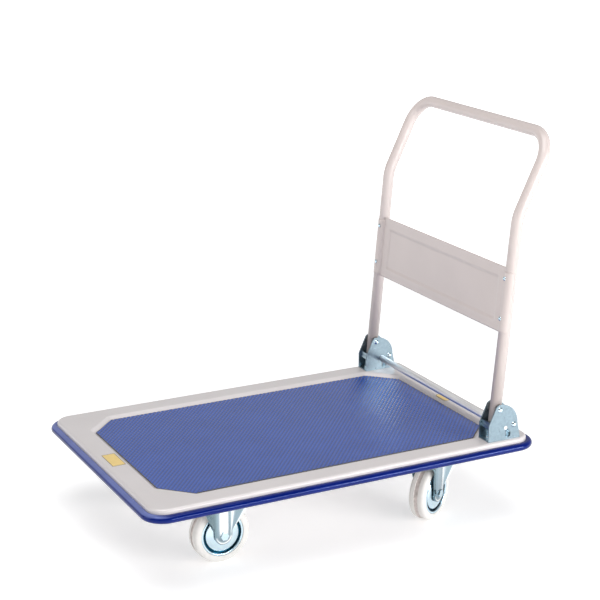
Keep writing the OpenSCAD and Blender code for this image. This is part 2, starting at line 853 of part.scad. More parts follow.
module pivot_washers() {
    color(nylon) for (side = [-1, 1])
        at_leg(side) for (s = [0, 180])
            rotate([90 + s, 0, 0]) translate([0, 0, tube_r + seat]) difference() {
                cylinder(d = washer_d, h = washer_t);
                translate([0, 0, -eps]) cylinder(d = pivot_d + 2 * running, h = washer_t + 2 * eps);
            }
}

// Casters

// Section of a fork: an arch of the given half width with rounded shoulders
module arch(half, r, top) {
    translate([-half, 0]) square([2 * half, top - r]);
    translate([-half + r, top - r]) square([2 * (half - r), r]);
    translate([half - r, top - r]) quarter(r);
    translate([r - half, top - r]) rotate(90) quarter(r);
}

// Side view of a fork: its crown, and a leg with a round end about the axle
module leg_outline(front_x, rear_x, x, top) {
    half = fork_end_r - run_in_bite;
    translate([front_x, top - crown_d]) square([rear_x - front_x, crown_d]);
    translate([x - half, axle_z]) square([2 * half, top - crown_d / 2 - axle_z]);
    translate([x, axle_z]) circle(fork_end_r);
}

// A pressed fork with ribbed and winged legs, round a wheel whose axle is at x
module fork(front_x, rear_x, x, top, front_wing) {
    difference() {
        union() {
            intersection() {
                translate([front_x, 0, 0]) rotate([90, 0, 90]) linear_extrude(rear_x - front_x)
                    fork_section(top);
                fork_side(front_x, rear_x, x, top);
            }
            for (s = [-1, 1]) {
                fork_rib(s, x, top);
                fork_wing(s, -1, front_x, x, top, front_wing);
                fork_wing(s, 1, rear_x, x, top, wing_w);
            }
        }
        at_axle(x) cylinder(d = axle_d, h = 4 * fork_out, center = true);
    }
}

module fork_section(top) {
    difference() {
        arch(fork_out, fork_bend, top);
        arch(fork_in, fork_bend - fork_t, top - fork_t);
    }
}

module fork_side(front_x, rear_x, x, top) {
    rotate([90, 0, 0]) linear_extrude(4 * fork_out, center = true) leg_outline(front_x, rear_x, x, top);
}

// The raised rib on one leg, from under the crown to the axle
module fork_rib(s, x, top) {
    half = rib_w / 2 - run_in_bite;
    translate([0, s * (fork_out + rib_h / 2), 0]) rotate([90, 0, 0]) linear_extrude(rib_h, center = true) {
        translate([x, axle_z]) circle(d = rib_w);
        translate([x - half, axle_z]) square([2 * half, top - crown_d - axle_z]);
    }
}

// A wing on leg s, at its front (-1) or rear (1): two flat leaves that meet at a tip, flared
// outward and level with the wheel's top
module fork_wing(s, d, corner_x, x, top, reach) {
    root_x = x + d * (fork_end_r - wing_lap);
    high = top - crown_d + wing_lap;
    head = [root_x, high, 0];
    corner = [corner_x - d * wing_lap, high, 0];
    flare = wing_flare * (reach - fork_end_r) / (wing_w - fork_end_r);
    tip = [x + d * reach, wheel_d, flare];
    foot = [root_x, axle_z + fork_end_r / 2, 0];
    ring = s * d > 0 ? [head, corner, tip, foot] : [head, foot, tip, corner];
    polyhedron(concat([for (p = ring) [p.x, s * (fork_in + p.z), p.y]],
                      [for (p = ring) [p.x, s * (fork_out + p.z), p.y]]),
               [[0, 1, 2], [0, 2, 3], [6, 5, 4], [7, 6, 4],
                [0, 4, 5, 1], [1, 5, 6, 2], [2, 6, 7, 3], [3, 7, 4, 0]]);
}

module caster_plate() {
    difference() {
        translate([0, 0, plate_z]) slab(plate_l, plate_w, plate_corner_r, plate_t);
        plate_bolts() translate([0, 0, plate_z - eps])
            cylinder(d = bolt_d + 2 * hole_play, h = plate_t + 2 * eps);
    }
}

module fixed_fork(side) {
    color(zinc) at_fixed(side) {
        caster_plate();
        fork(-fork_top_w / 2, fork_top_w / 2, 0, plate_z + weld_sink, wing_w);
    }
}

// The groove of a ball race, round the pin's axis
module ball_groove() {
    translate([0, 0, ball_z]) rotate_extrude() translate([ball_circle_r, 0]) circle(d = ball_d + gap);
}

module swivel_plate(side) {
    color(zinc) at_swivel(side) difference() {
        union() {
            caster_plate();
            rotate_extrude() {
                translate([race_in_r, upper_race_z]) square([race_out_r - race_in_r, race_t]);
                translate([race_out_r, lower_race_z + race_t / 2])
                    translate([gap * 2, 0]) square([shield_t, plate_z - lower_race_z - race_t / 2]);
                translate([race_out_r, upper_race_z]) square([gap * 2, race_t]);
            }
        }
        ball_groove();
        translate([0, 0, plate_z - eps]) cylinder(d = kingpin_d, h = plate_t + 2 * eps);
    }
}

module kingpin(side) {
    head_z = crown_z - gap - kingpin_head_t;
    color(dark_steel) at_swivel(side) translate([0, 0, head_z]) {
        cylinder(d = kingpin_head_d, h = kingpin_head_t);
        cylinder(d = kingpin_d, h = caster_h - head_z);
    }
}

module swivel_balls(side) {
    color(dark_steel) at_swivel(side) for (k = [0:ball_n - 1])
        rotate([0, 0, 360 * k / ball_n]) translate([ball_circle_r, 0, ball_z]) sphere(d = ball_d);
}

module swivel_fork(side) {
    color(zinc) at_turned(side) difference() {
        union() {
            fork(-trail - swivel_crown, swivel_crown, -trail, crown_z + fork_t, lead_wing_w);
            translate([0, 0, crown_z]) cylinder(r = race_out_r, h = fork_t);
            translate([0, 0, lower_race_z]) rotate_extrude()
                translate([race_in_r, 0]) square([race_out_r - race_in_r, race_t]);
        }
        ball_groove();
        translate([0, 0, crown_z - eps]) cylinder(d = kingpin_d + 2 * running, h = fork_t + 2 * eps);
    }
}

// An axle bolt from the outer side, with its thread showing past a thin nut
module axle_bolt() {
    reach = fork_out + rib_h;
    past = axle_nut_t + thread_past;
    translate([0, 0, reach]) hexagon(axle_head_w, axle_head_t);
    translate([0, 0, -reach - past]) cylinder(d = axle_d, h = 2 * reach + past);
}

module axle_nut() {
    translate([0, 0, -fork_out - rib_h - axle_nut_t]) nut(axle_head_w, axle_nut_t, axle_d);
}

module axle_sleeve() {
    difference() {
        cylinder(d = sleeve_d, h = 2 * fork_in, center = true);
        cylinder(d = axle_d, h = 2 * fork_in + 2 * eps, center = true);
    }
}

module fixed_axle_bolts() {
    color(zinc) for (side = [-1, 1]) at_fixed(side) at_axle(0) axle_bolt();
}

module fixed_axle_nuts() {
    color(zinc) for (side = [-1, 1]) at_fixed(side) at_axle(0) axle_nut();
}

module fixed_axle_sleeves() {
    color(dark_steel) for (side = [-1, 1]) at_fixed(side) at_axle(0) axle_sleeve();
}

module swivel_axle_bolt(side) {
    color(zinc) at_turned(side) at_axle(-trail) axle_bolt();
}

module swivel_axle_nut(side) {
    color(zinc) at_turned(side) at_axle(-trail) axle_nut();
}

module swivel_axle_sleeve(side) {
    color(dark_steel) at_turned(side) at_axle(-trail) axle_sleeve();
}

module caster_bolts() {
    color(zinc) all_plate_bolts() {
        translate([0, 0, plate_z - bolt_head_t]) hexagon(bolt_head_w, bolt_head_t);
        translate([0, 0, plate_z]) cylinder(d = bolt_d, h = plate_t + channel_t + nut_t + thread_past);
    }
}

module caster_nuts() {
    color(zinc) all_plate_bolts() translate([0, 0, caster_h + channel_t]) nut(bolt_head_w, nut_t, bolt_d);
}

// Wheels, about their axle

module tyre() {
    half = wheel_w / 2;
    r = wheel_d / 2;
    color(tyre_white) rotate_extrude($fn = 128) difference() {
        for (s = [0, 1])
            mirror([0, s]) {
                translate([rim_d / 2, 0]) square([r - tyre_shoulder - rim_d / 2, half]);
                translate([r - tyre_shoulder, 0]) square([tyre_shoulder, half - tyre_shoulder]);
                translate([r - tyre_shoulder, half - tyre_shoulder]) quarter(tyre_shoulder);
            }
        translate([r - tread_groove_d, -tread_groove_w / 2]) square([tread_groove_d + eps, tread_groove_w]);
    }
}

// Two pressed halves: seat of the tyre, rolled lip, ring groove, dished disc and half the hub
module rim() {
    sheet = 2;
    half = wheel_w / 2;
    rim_r = rim_d / 2;
    lip_r = rim_r - rim_lip_w;
    disc_r = lip_r - rim_groove_w;
    bore_r = bearing_d / 2;
    hub_r = bore_r + sheet;
    groove_z = half - rim_groove_d;
    face = half + disc_dome;
    color(zinc) for (s = [0, 180])
        rotate([s, 0, 0]) rotate_extrude($fn = 96) polygon([
            [rim_r, gap], [rim_r, half], [lip_r, half], [lip_r, groove_z], [disc_r, groove_z],
            [disc_r, half - sheet], [hub_r + sheet, face], [bore_r, face], [bore_r, gap], [hub_r, gap],
            [hub_r, face - sheet], [disc_r - sheet, half - 2 * sheet],
            [disc_r - sheet, groove_z - sheet], [rim_r - sheet, groove_z - sheet], [rim_r - sheet, gap]]);
}

module bearings() {
    color(dark_steel) for (s = [0, 180])
        rotate([s, 0, 0]) translate([0, 0, wheel_w / 2 - bearing_w]) difference() {
            cylinder(d = bearing_d, h = bearing_w);
            translate([0, 0, -eps]) cylinder(d = sleeve_d + 2 * running, h = bearing_w + 2 * eps);
        }
}

module front_wheel(side) {
    at_fixed(side) at_axle(0) children();
}

module rear_wheel(side) {
    at_turned(side) at_axle(-trail) children();
}

deck_pan();
deck_mat();
edge_bumper();
cross_channel(fixed_x);  // front_cross_channel
cross_channel(swivel_x);  // rear_cross_channel
centre_channel();
hinge_bracket(-1);  // hinge_bracket_left
hinge_bracket(1);  // hinge_bracket_right
stop_bar(-1);  // stop_bar_left
stop_bar(1);  // stop_bar_right
pivot_rivet(-1);  // pivot_rivet_left
pivot_rivet(1);  // pivot_rivet_right
rear_rivets();
bracket_bolts();
bracket_nuts();
return_spring(-1);  // return_spring_left
return_spring(1);  // return_spring_right
fixed_fork(-1);  // fixed_fork_left
fixed_fork(1);  // fixed_fork_right
fixed_axle_bolts();
fixed_axle_nuts();
fixed_axle_sleeves();
swivel_plate(-1);  // swivel_plate_left
swivel_plate(1);  // swivel_plate_right
kingpin(-1);  // kingpin_left
kingpin(1);  // kingpin_right
swivel_balls(-1);  // swivel_balls_left
swivel_balls(1);  // swivel_balls_right
caster_bolts();
caster_nuts();
handle_tube();
handle_panel();
panel_rivets();
foot_plugs();
pivot_washers();
pedal_tube();
pedal_pins();
swivel_fork(-1);  // swivel_fork_left
swivel_axle_bolt(-1);  // swivel_axle_bolt_left
swivel_axle_nut(-1);  // swivel_axle_nut_left
swivel_axle_sleeve(-1);  // swivel_axle_sleeve_left
swivel_fork(1);  // swivel_fork_right
swivel_axle_bolt(1);  // swivel_axle_bolt_right
swivel_axle_nut(1);  // swivel_axle_nut_right
swivel_axle_sleeve(1);  // swivel_axle_sleeve_right
front_wheel(-1) tyre();  // front_tyre_left
front_wheel(-1) rim();  // front_rim_left
front_wheel(-1) bearings();  // front_bearings_left
front_wheel(1) tyre();  // front_tyre_right
front_wheel(1) rim();  // front_rim_right
front_wheel(1) bearings();  // front_bearings_right
rear_wheel(-1) tyre();  // rear_tyre_left
rear_wheel(-1) rim();  // rear_rim_left
rear_wheel(-1) bearings();  // rear_bearings_left
rear_wheel(1) tyre();  // rear_tyre_right
rear_wheel(1) rim();  // rear_rim_right
rear_wheel(1) bearings();  // rear_bearings_right
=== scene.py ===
"""Finished surfaces of a folding platform truck: pressed deck, ribbed mat, bumper, handle and casters."""

import math

import bpy
import numpy as np
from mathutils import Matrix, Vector


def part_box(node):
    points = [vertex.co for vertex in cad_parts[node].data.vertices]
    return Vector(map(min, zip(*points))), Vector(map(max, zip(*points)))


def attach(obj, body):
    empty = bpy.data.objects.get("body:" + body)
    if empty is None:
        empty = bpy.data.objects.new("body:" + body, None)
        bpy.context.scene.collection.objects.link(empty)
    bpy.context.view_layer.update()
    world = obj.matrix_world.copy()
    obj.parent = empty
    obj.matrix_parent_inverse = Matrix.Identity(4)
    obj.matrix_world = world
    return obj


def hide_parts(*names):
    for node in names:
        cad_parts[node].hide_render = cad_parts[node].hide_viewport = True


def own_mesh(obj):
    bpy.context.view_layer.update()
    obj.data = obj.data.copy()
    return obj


bl_info = {
    "name": "Platform Truck",
    "version": (1, 0, 0),
    "blender": (4, 5, 0),
    "location": "3D View > Sidebar > Truck",
    "description": "Builds the finished surfaces of a folding platform truck on its packed solids",
    "category": "Add Mesh",
}

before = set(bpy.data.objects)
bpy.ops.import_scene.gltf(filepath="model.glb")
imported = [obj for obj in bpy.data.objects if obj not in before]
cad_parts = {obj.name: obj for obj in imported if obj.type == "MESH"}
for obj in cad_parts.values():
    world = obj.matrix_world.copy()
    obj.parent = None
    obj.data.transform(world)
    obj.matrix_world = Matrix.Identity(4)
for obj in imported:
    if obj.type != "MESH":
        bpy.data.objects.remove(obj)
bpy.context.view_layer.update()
SIDES = ("left", "right")
UP = (0.0, 0.0, 1.0)

# Points in an arc, round a turn or across a strip of a mesh
CORNER_STEPS = 8
BEND_STEPS = 25
TUBE_STEPS = 44
WIRE_STEPS = 12
COIL_STEPS = 32
TYRE_STEPS = 120
RIM_STEPS = 96
RACE_STEPS = 72
RIB_STEPS = 31
WING_STEPS = 15

# Rounding of cut edges and play between fitted pieces, in metres
FINE_EDGE = 0.0004
BOLT_EDGE = 0.0006
FORK_EDGE = 0.0007
CHANNEL_EDGE = 0.0008
PLAY = 0.0001

# Middles of the blank label and tag, from the middle of the deck
LABEL_PLACE = (-0.411, -0.004)
TAG_PLACE = (0.404, 0.004)


def middle(node):
    """The middle of a solid's box, in metres."""
    low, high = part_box(node)
    return np.array((low + high) / 2)


PAN_LOW, PAN_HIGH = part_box("deck_pan")
MAT_LOW, MAT_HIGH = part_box("deck_mat")
BUMPER_LOW, BUMPER_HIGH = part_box("edge_bumper")
DECK_MIDDLE = middle("deck_pan")
HINGE = middle("pivot_rivet_left")


# Settings that a user would change


def size(name, description, default):
    """A length in metres."""
    return bpy.props.FloatProperty(
        name=name, description=description, default=default, min=0.0, precision=4, unit="LENGTH"
    )


def angle(name, description, degrees):
    """An angle, given in degrees."""
    return bpy.props.FloatProperty(
        name=name, description=description, default=math.radians(degrees), subtype="ANGLE", unit="ROTATION"
    )


def colour(name, description, default):
    """A linear colour."""
    return bpy.props.FloatVectorProperty(
        name=name, description=description, default=default, size=3, min=0.0, max=1.0, subtype="COLOR"
    )


def power(name, description, watts):
    """The power of a light."""
    return bpy.props.FloatProperty(
        name=name, description=description, default=watts, subtype="POWER", unit="POWER"
    )


class TRUCK_PG_deck(bpy.types.PropertyGroup):
    """Sizes of the pressed deck, its mat, its bumper and its labels"""

    flange: size("Flange", "Width of the flange that carries the bumper", 0.009)
    sheet: size("Sheet", "Thickness of the deck's sheet", 0.0016)
    corner: size("Corner", "Radius of the deck's corners, seen from above", 0.036)
    edge: size("Edge", "Radius of the rounded edge between rim and skirt", 0.006)
    rim: size("Rim", "Width of the flat rim round the recess", 0.047)
    wall: size("Wall", "Width of the recess's sloping wall", 0.010)
    depth: size("Depth", "Depth of the recess", 0.008)
    wall_foot: size("Wall foot", "Radius at the foot of the sloping wall", 0.002)
    wall_head: size("Wall head", "Radius at the head of the sloping wall", 0.005)
    cut: size("Mat cut", "Length of each corner cut of the mat", 0.058)
    rib_pitch: size("Rib pitch", "Distance between the mat's ribs", 0.00773)
    rib_depth: size("Rib depth", "Depth of the grooves between the ribs", 0.0006)
    rib_turn: angle("Rib turn", "Turn of the ribs from the truck's length", 49.0)
    # Widths of the painted shadow along the mat's edge
    shadow_band: size("Edge band", "Width of the mat's dark edge", 0.0012)
    near_shadow_band: size("Near band", "Width of the dark edge along the left side", 0.0075)
    bumper_lip: size("Bumper lip", "Radius of the bumper's inner upper edge", 0.0012)
    label_length: size("Label length", "Length of the blank label across the rim's end", 0.067)
    label_width: size("Label width", "Width of that label", 0.029)
    tag_length: size("Tag length", "Length of the blank tag behind the foot bar", 0.046)
    tag_width: size("Tag width", "Width of that tag", 0.026)
    label_corner: size("Label corner", "Radius of the label's corners", 0.002)
    tag_corner: size("Tag corner", "Radius of the tag's corners", 0.009)
    label_line: size("Label line", "Width of the dark line round label and tag", 0.0011)
    label_thickness: size("Label thickness", "Thickness of label and tag", 0.0002)


class TRUCK_PG_handle(bpy.types.PropertyGroup):
    """Sizes of the bent handle and its pressed panel"""

    tube: size("Tube", "Outside diameter of the handle tube", 0.0254)
    wall: size("Wall", "Wall of the handle tube", 0.0016)
    lean: angle("Lean", "Lean of the legs to the rear", 5.3)
    top_lean: angle("Top lean", "Lean of the upper part to the rear", 25.8)
    leg: size("Leg", "Length from the pivot to the middle of the bend", 0.415)
    upper: size("Upper part", "Length from the bend to the top bar", 0.184)
    bend: size("Bend", "Radius of the bend in a leg", 0.090)
    corner: size("Corner", "Radius of the top corners", 0.062)
    foot: size("Foot", "Length of the tube below the pivot", 0.034)
    panel_height: size("Panel height", "Height of the pressed panel", 0.141)
    panel_up: size("Panel up", "Distance of the panel's lower edge from the pivot", 0.165)
    panel_sheet: size("Panel sheet", "Thickness of the panel", 0.0012)
    panel_front: size("Panel front", "Distance of the panel's front from the legs' centres", 0.005)
    panel_wrap: size("Panel wrap", "Outer radius of the panel's ends, wrapped round the legs", 0.014)
    tab_head: size("Tab head", "How much lower than the panel its wrapped ends start", 0.0072)
    tab_foot: size("Tab foot", "How much higher than the panel they end", 0.0035)
    tab_round: size("Tab round", "Rounding of the wrapped ends' corners", 0.008)
    field_head: size("Field head", "Width of the flat border above the field", 0.0235)
    field_foot: size("Field foot", "Width of the flat border below the field", 0.020)
    field_end: size("Field end", "Distance of the field from the legs' centres", 0.034)
    field_depth: size("Field depth", "Depth of the pressed field", 0.0025)
    field_wall: size("Field wall", "Width of the field's soft wall", 0.006)
    field_corner: size("Field corner", "Radius of the field's corners", 0.006)


class TRUCK_PG_caster(bpy.types.PropertyGroup):
    """Sizes of wheels and forks"""

    wheel: size("Wheel", "Diameter of the wheels", 0.125)
    width: size("Width", "Width of the tyres", 0.0375)
    rim: size("Rim", "Diameter of the rims", 0.095)
    shoulder: size("Shoulder", "Radius of the tyres' shoulders", 0.008)
    groove_width: size("Groove width", "Width of the groove round the tread", 0.009)
    groove_depth: size("Groove depth", "Depth of the groove round the tread", 0.002)
    lip: size("Lip", "Width of the rolled lip of a rim", 0.005)
    ring: size("Ring", "Width of the ring groove inside the lip", 0.005)
    ring_depth: size("Ring depth", "Depth of the ring groove", 0.007)
    dome: size("Dome", "Height of the dished disc over the tyre's side", 0.001)
    bearing: size("Bearing", "Outside diameter of the bearings", 0.030)
    rim_sheet: size("Rim sheet", "Thickness of the rim's sheet", 0.002)
    fork_sheet: size("Fork sheet", "Thickness of the forks' sheet", 0.003)
    fork_clear: size("Fork clearance", "Gap between a wheel's side and its fork", 0.0032)
    fork_bend: size("Fork bend", "Outer radius between crown and leg", 0.009)
    fork_top: size("Fork top", "Width of a fork at its crown", 0.084)
    swivel_top: size("Swivel top", "Reach of a swivel fork's crown past its pin and its axle", 0.034)
    fork_end: size("Fork end", "Half the width of a leg, and the radius of its round end", 0.020)
    rib_width: size("Rib width", "Width of the raised rib on a leg", 0.026)
    rib_height: size("Rib height", "Height of the raised rib", 0.003)
    wing: size("Wing", "Reach of a leg's wings from the axle, along the wheel", 0.046)
    flare: size("Flare", "How far the wings' tips stand out from the leg", 0.018)
    lead_wing: size("Lead wing", "Reach of a swivel fork's smaller wings, away from its pin", 0.030)
    wing_round: size("Wing round", "Rounding of the wings' tips", 0.012)
    plate_length: size("Plate length", "Length of the caster plates", 0.115)
    plate_width: size("Plate width", "Width of the caster plates", 0.100)
    plate: size("Plate", "Thickness of the caster plates", 0.004)
    plate_corner: size("Plate corner", "Radius of the plates' corners", 0.010)
    plate_top: size("Plate top", "Height of the plates' upper faces over the floor", 0.160)
    race: size("Race", "Thickness of each ball race", 0.0055)
    race_gap: size("Race gap", "Gap between the two races", 0.0024)
    race_inner: size("Race inner", "Inner radius of a ball race", 0.017)
    race_outer: size("Race outer", "Outer radius of a ball race", 0.031)
    trail: size("Trail", "Distance of a swivel wheel's axle from its pin", 0.038)


class TRUCK_PG_hinge(bpy.types.PropertyGroup):
    """Sizes of the return springs and of the softened edges"""

    wire: size("Wire", "Wire of the return springs", 0.0016)
    spring_foot: size("Spring foot", "Diameter of a spring's lowest turn", 0.017)
    spring_top: size("Spring top", "Diameter of a spring's top turn", 0.009)
    turns: bpy.props.FloatProperty(
        name="Turns", description="Number of turns in a spring", default=4.0, min=1.0
    )
    kept: bpy.props.FloatProperty(
        name="Kept height", description="Share of a spring's height that is left when pressed",
        default=0.267, min=0.05, max=1.0, subtype="FACTOR"
    )
    edge: size("Edge", "Rounding of the sheet's cut edges", 0.0006)


class TRUCK_PG_colours(bpy.types.PropertyGroup):
    """Colours of the finishes"""

    cream: colour("Cream", "Paint of the deck", (0.61, 0.575, 0.575))
    handle: colour("Handle cream", "Paint of tube and panel", (0.565, 0.495, 0.475))
    mat: colour("Mat", "Ribbed sheet in the recess", (0.018, 0.076, 0.395))
    # Painted shadow: the dark colour along the mat's edge, for the shadow by the recess wall, widest along
    # the left side
    mat_edge_shadow: colour("Mat edge", "Dark edge of the ribbed sheet", (0.030, 0.026, 0.034))
    bumper: colour("Bumper", "Strip round the deck", (0.0002, 0.0075, 0.125))
    bumper_gloss: colour("Bumper gloss", "Tint of the strip's reflections", (0.42, 0.54, 1.0))
    # Painted sheen: the paler blue of a reflection, painted on the bumper's upper ledge at the front end
    dust: colour("Dust", "Strip where dust lies", (0.13, 0.165, 0.40))
    zinc: colour("Zinc", "Plated brackets", (0.27, 0.355, 0.41))
    bright: colour("Bright zinc", "Plated forks, rims and fasteners", (0.64, 0.79, 0.87))
    # Painted light on the forks: shade in the hollows of their folds, a dull plain tone beside them and a
    # painted highlight on their crests
    shade: colour("Shade", "Fork sheet in the hollow of a fold", (0.16, 0.25, 0.27))
    dull: colour("Dull", "Fork sheet beside a fold", (0.28, 0.375, 0.43))
    crest_highlight: colour("Crest highlight", "Fork sheet on the crest of a fold", (0.93, 0.97, 0.98))
    # Painted shade: colour of the shade and dark reflection painted into a rim's ring groove
    ring_groove_shade: colour("Ring groove shade", "Dark ring in the groove of a rim", (0.004, 0.050, 0.090))
    steel: colour("Steel", "Bright bars and pins", (0.94, 0.94, 0.96))
    rubber: colour("Rubber", "Tyres", (0.72, 0.705, 0.68))
    soil: colour("Soil", "Dust in the groove of the tread", (0.56, 0.50, 0.475))
    nylon: colour("Nylon", "Plugs and washers", (0.10, 0.11, 0.115))
    label: colour("Label", "Blank label and tag", (0.76, 0.56, 0.20))
    label_edge: colour("Label edge", "Line round the label", (0.10, 0.07, 0.02))
    floor: colour("Floor", "Floor of the studio", (0.92, 0.92, 0.92))


class TRUCK_PG_stage(bpy.types.PropertyGroup):
    """Camera and lights"""

    lens: bpy.props.FloatProperty(name="Lens", description="Focal length in mm", default=97.297, min=10.0)
    place: bpy.props.FloatVectorProperty(
        name="Camera", description="Place of the camera", default=(-1.5266, -2.965, 1.4731),
        subtype="TRANSLATION", unit="LENGTH"
    )
    turn: angle("Turn", "Turn of the camera round the upright", -27.371)
    tilt: angle("Tilt", "Tilt of the camera from straight down", 73.491)
    sky: bpy.props.FloatProperty(name="Sky", description="Strength of the white dome", default=0.62)
    overhead: power("Overhead", "Power of the softbox overhead", 72.0)
    side: power("Side", "Power of the softbox beside the camera", 40.0)
    strip: power("Strip", "Power of the long low light beside the truck", 60.0)
    fill: power("Fill", "Power of the softbox before the truck", 18.0)


# Shapes as whole arrays of points


def unit(v):
    """Vectors divided by their lengths."""
    return v / np.maximum(np.linalg.norm(v, axis=-1, keepdims=True), 1e-12)


def smooth(x):
    """The soft step 3x^2 - 2x^3, with x held between 0 and 1."""
    x = np.clip(x, 0.0, 1.0)
    return x * x * (3.0 - 2.0 * x)


def rounded(points, radii, steps, closed):
    """A chain of points with its corners rounded.

    At a corner P between unit directions a and b with turn T, the arc starts r tan(T/2) before P, and its
    point at angle f is start + r (sin f a + (1 - cos f) n), where n is b's part across a.
    """
    points = np.asarray(points, float)
    radii = np.broadcast_to(np.asarray(radii, float), (len(points),))
    into = unit(points - np.roll(points, 1, 0))
    onward = unit(np.roll(points, -1, 0) - points)
    keep = slice(None) if closed else slice(1, -1)
    corner, r, a, b = points[keep], radii[keep, None], into[keep], onward[keep]
    cosine = np.clip((a * b).sum(1, keepdims=True), -1.0, 1.0)
    turn = np.arccos(cosine)
    aside = unit(b - cosine * a)
    f = (turn * np.linspace(0.0, 1.0, steps))[..., None]
    start = corner - a * r * np.tan(turn / 2)
    arcs = start[:, None] + r[:, None] * (np.sin(f) * a[:, None] + (1 - np.cos(f)) * aside[:, None])
    chain = arcs.reshape(-1, points.shape[1])
    return chain if closed else np.concatenate([points[:1], chain, points[-1:]])


def round_outline(half_l, half_w, r):
    """A rectangle with round corners, anticlockwise, with as many points as a cut one."""
    corners = [(half_l, half_w), (-half_l, half_w), (-half_l, -half_w), (half_l, -half_w)]
    return rounded(corners, r, 2 * CORNER_STEPS, closed=True)


def cut_outline(half_l, half_w, cut, r):
    """A rectangle with its corners cut at 45 degrees, anticlockwise, in eight arcs."""
    l, w = half_l - cut, half_w - cut
    corners = [(half_l, w), (l, half_w), (-l, half_w), (-half_l, w),
               (-half_l, -w), (-l, -half_w), (l, -half_w), (half_l, -w)]
    return rounded(corners, r, CORNER_STEPS, closed=True)


def lifted(outline, z):
    """An outline in the plane, moved to the deck's middle and raised to z."""
    x, y = outline.T
    return np.stack([x + DECK_MIDDLE[0], y + DECK_MIDDLE[1], np.full_like(x, z)], -1)


def grid_quads(points, close_rows=False, close_columns=False, toward=None):
    """Quads of a grid of points (rows, columns, 3): each joins (i, j), (i, j+1), (i+1, j+1), (i+1, j).

    All are turned over together if their areas point against toward, by default away from the middle.
    """
    rows, columns = points.shape[:2]
    i, j = np.meshgrid(np.arange(rows if close_rows else rows - 1),
                       np.arange(columns if close_columns else columns - 1), indexing="ij")
    i2, j2 = (i + 1) % rows, (j + 1) % columns
    corners = [i * columns + j, i * columns + j2, i2 * columns + j2, i2 * columns + j]
    quads = np.stack(corners, -1).reshape(-1, 4)
    flat = points.reshape(-1, 3)
    p = flat[quads]
    areas = np.cross(p[:, 2] - p[:, 0], p[:, 3] - p[:, 1])
    away = flat - flat.mean(0) if toward is None else np.broadcast_to(toward, points.shape).reshape(-1, 3)
    return quads if (areas * away[quads[:, 0]]).sum() > 0 else quads[:, ::-1]


def closed_quads(points):
    """Quads of a grid that is closed both ways."""
    return grid_quads(points, close_rows=True, close_columns=True)


def capped(points, toward=None):
    """Faces of a grid with closed columns, and a cap over its first row and its last."""
    quads = grid_quads(points, close_columns=True, toward=toward)
    rows, columns = points.shape[:2]
    first = np.arange(columns)
    last = first + (rows - 1) * columns
    return quads.tolist() + ([first[::-1], last] if quads[0, 0] == 0 else [first, last[::-1]])


def ring(count):
    """Points of the unit circle."""
    u = np.linspace(0.0, 2 * math.pi, count, endpoint=False)
    return np.stack([np.cos(u), np.sin(u)], -1)


def turned(profile, centre, axis, count):
    """A profile (radius, height) carried round an axis: centre + height axis + radius (cos u, sin u)."""
    axis = unit(np.asarray(axis, float))
    first = unit(np.cross(axis, (0.3, 0.2, 1.0)))
    second = np.cross(axis, first)
    u = ring(count)[:, None]
    r, h = profile[:, 0][None, :, None], profile[:, 1][None, :, None]
    return np.asarray(centre, float) + h * axis + r * (u[..., :1] * first + u[..., 1:] * second)


def swept(section, path, side, up):
    """A section (s, t) carried along a path: path + s side + t up at each of its points."""
    s, t = section[:, 0][None, :, None], section[:, 1][None, :, None]
    return path[:, None] + s * side[:, None] + t * up[:, None]


def set_down(points, origin, turn):
    """Points turned about the upright and moved to an origin."""
    c, s = math.cos(turn), math.sin(turn)
    return points @ np.array([[c, s, 0.0], [-s, c, 0.0], [0.0, 0.0, 1.0]]) + np.asarray(origin, float)


# Putting a shape into the scene


def put(name, points, faces, finish, body, nodes=(), sharp=35.0):
    """A mesh piece that rides on a body, takes a slot's finish and stands for the named solids."""
    mesh = bpy.data.meshes.new(name)
    mesh.from_pydata(points.reshape(-1, 3).tolist(), [], [list(map(int, f)) for f in faces])
    mesh.polygons.foreach_set("use_smooth", np.ones(len(mesh.polygons), bool))
    mesh.set_sharp_from_angle(angle=math.radians(sharp))
    mesh.materials.append(finish_of(finish))
    mesh.update()
    piece = bpy.data.objects.new(name, mesh)
    bpy.context.scene.collection.objects.link(piece)
    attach(piece, body)
    if nodes:
        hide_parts(*nodes)
    return piece


def mark(piece, name, values):
    """Gives each point of a piece a value that its finish reads."""
    flat = np.asarray(values, np.float32).ravel()
    piece.data.attributes.new(name, "FLOAT", "POINT").data.foreach_set("value", flat)


def give_wall(piece, thickness):
    """Gives a sheet its thickness, behind its outer face."""
    wall = piece.modifiers.new("wall", "SOLIDIFY")
    wall.thickness = thickness
    wall.offset = -1.0
    wall.use_even_offset = True


def soften(piece, width):
    """Rounds the sharp edges of a piece."""
    edge = piece.modifiers.new("edge", "BEVEL")
    edge.width = width
    edge.segments = 2
    edge.limit_method = "ANGLE"
    edge.angle_limit = math.radians(40)
    edge.harden_normals = True


def dress(nodes, finish, edge=0.0):
    """Gives solids their finish, and rounds their edges where a width is given."""
    for name in nodes:
        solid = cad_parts[name]
        solid.material_slots[0].material = finish_of(finish)
        if edge:
            joined = solid.modifiers.new("joined", "WELD")
            joined.merge_threshold = 1e-5
            soften(solid, edge)


# Finishes


def node(tree, kind, sockets=None, **settings):
    """A shader node with its settings; a socket that is given an output is linked to it."""
    made = tree.nodes.new("ShaderNode" + kind)
    for key, value in settings.items():
        setattr(made, key, value)
    for key, value in (sockets or {}).items():
        if isinstance(value, bpy.types.NodeSocket):
            tree.links.new(value, made.inputs[key])
        else:
            made.inputs[key].default_value = value
    return made


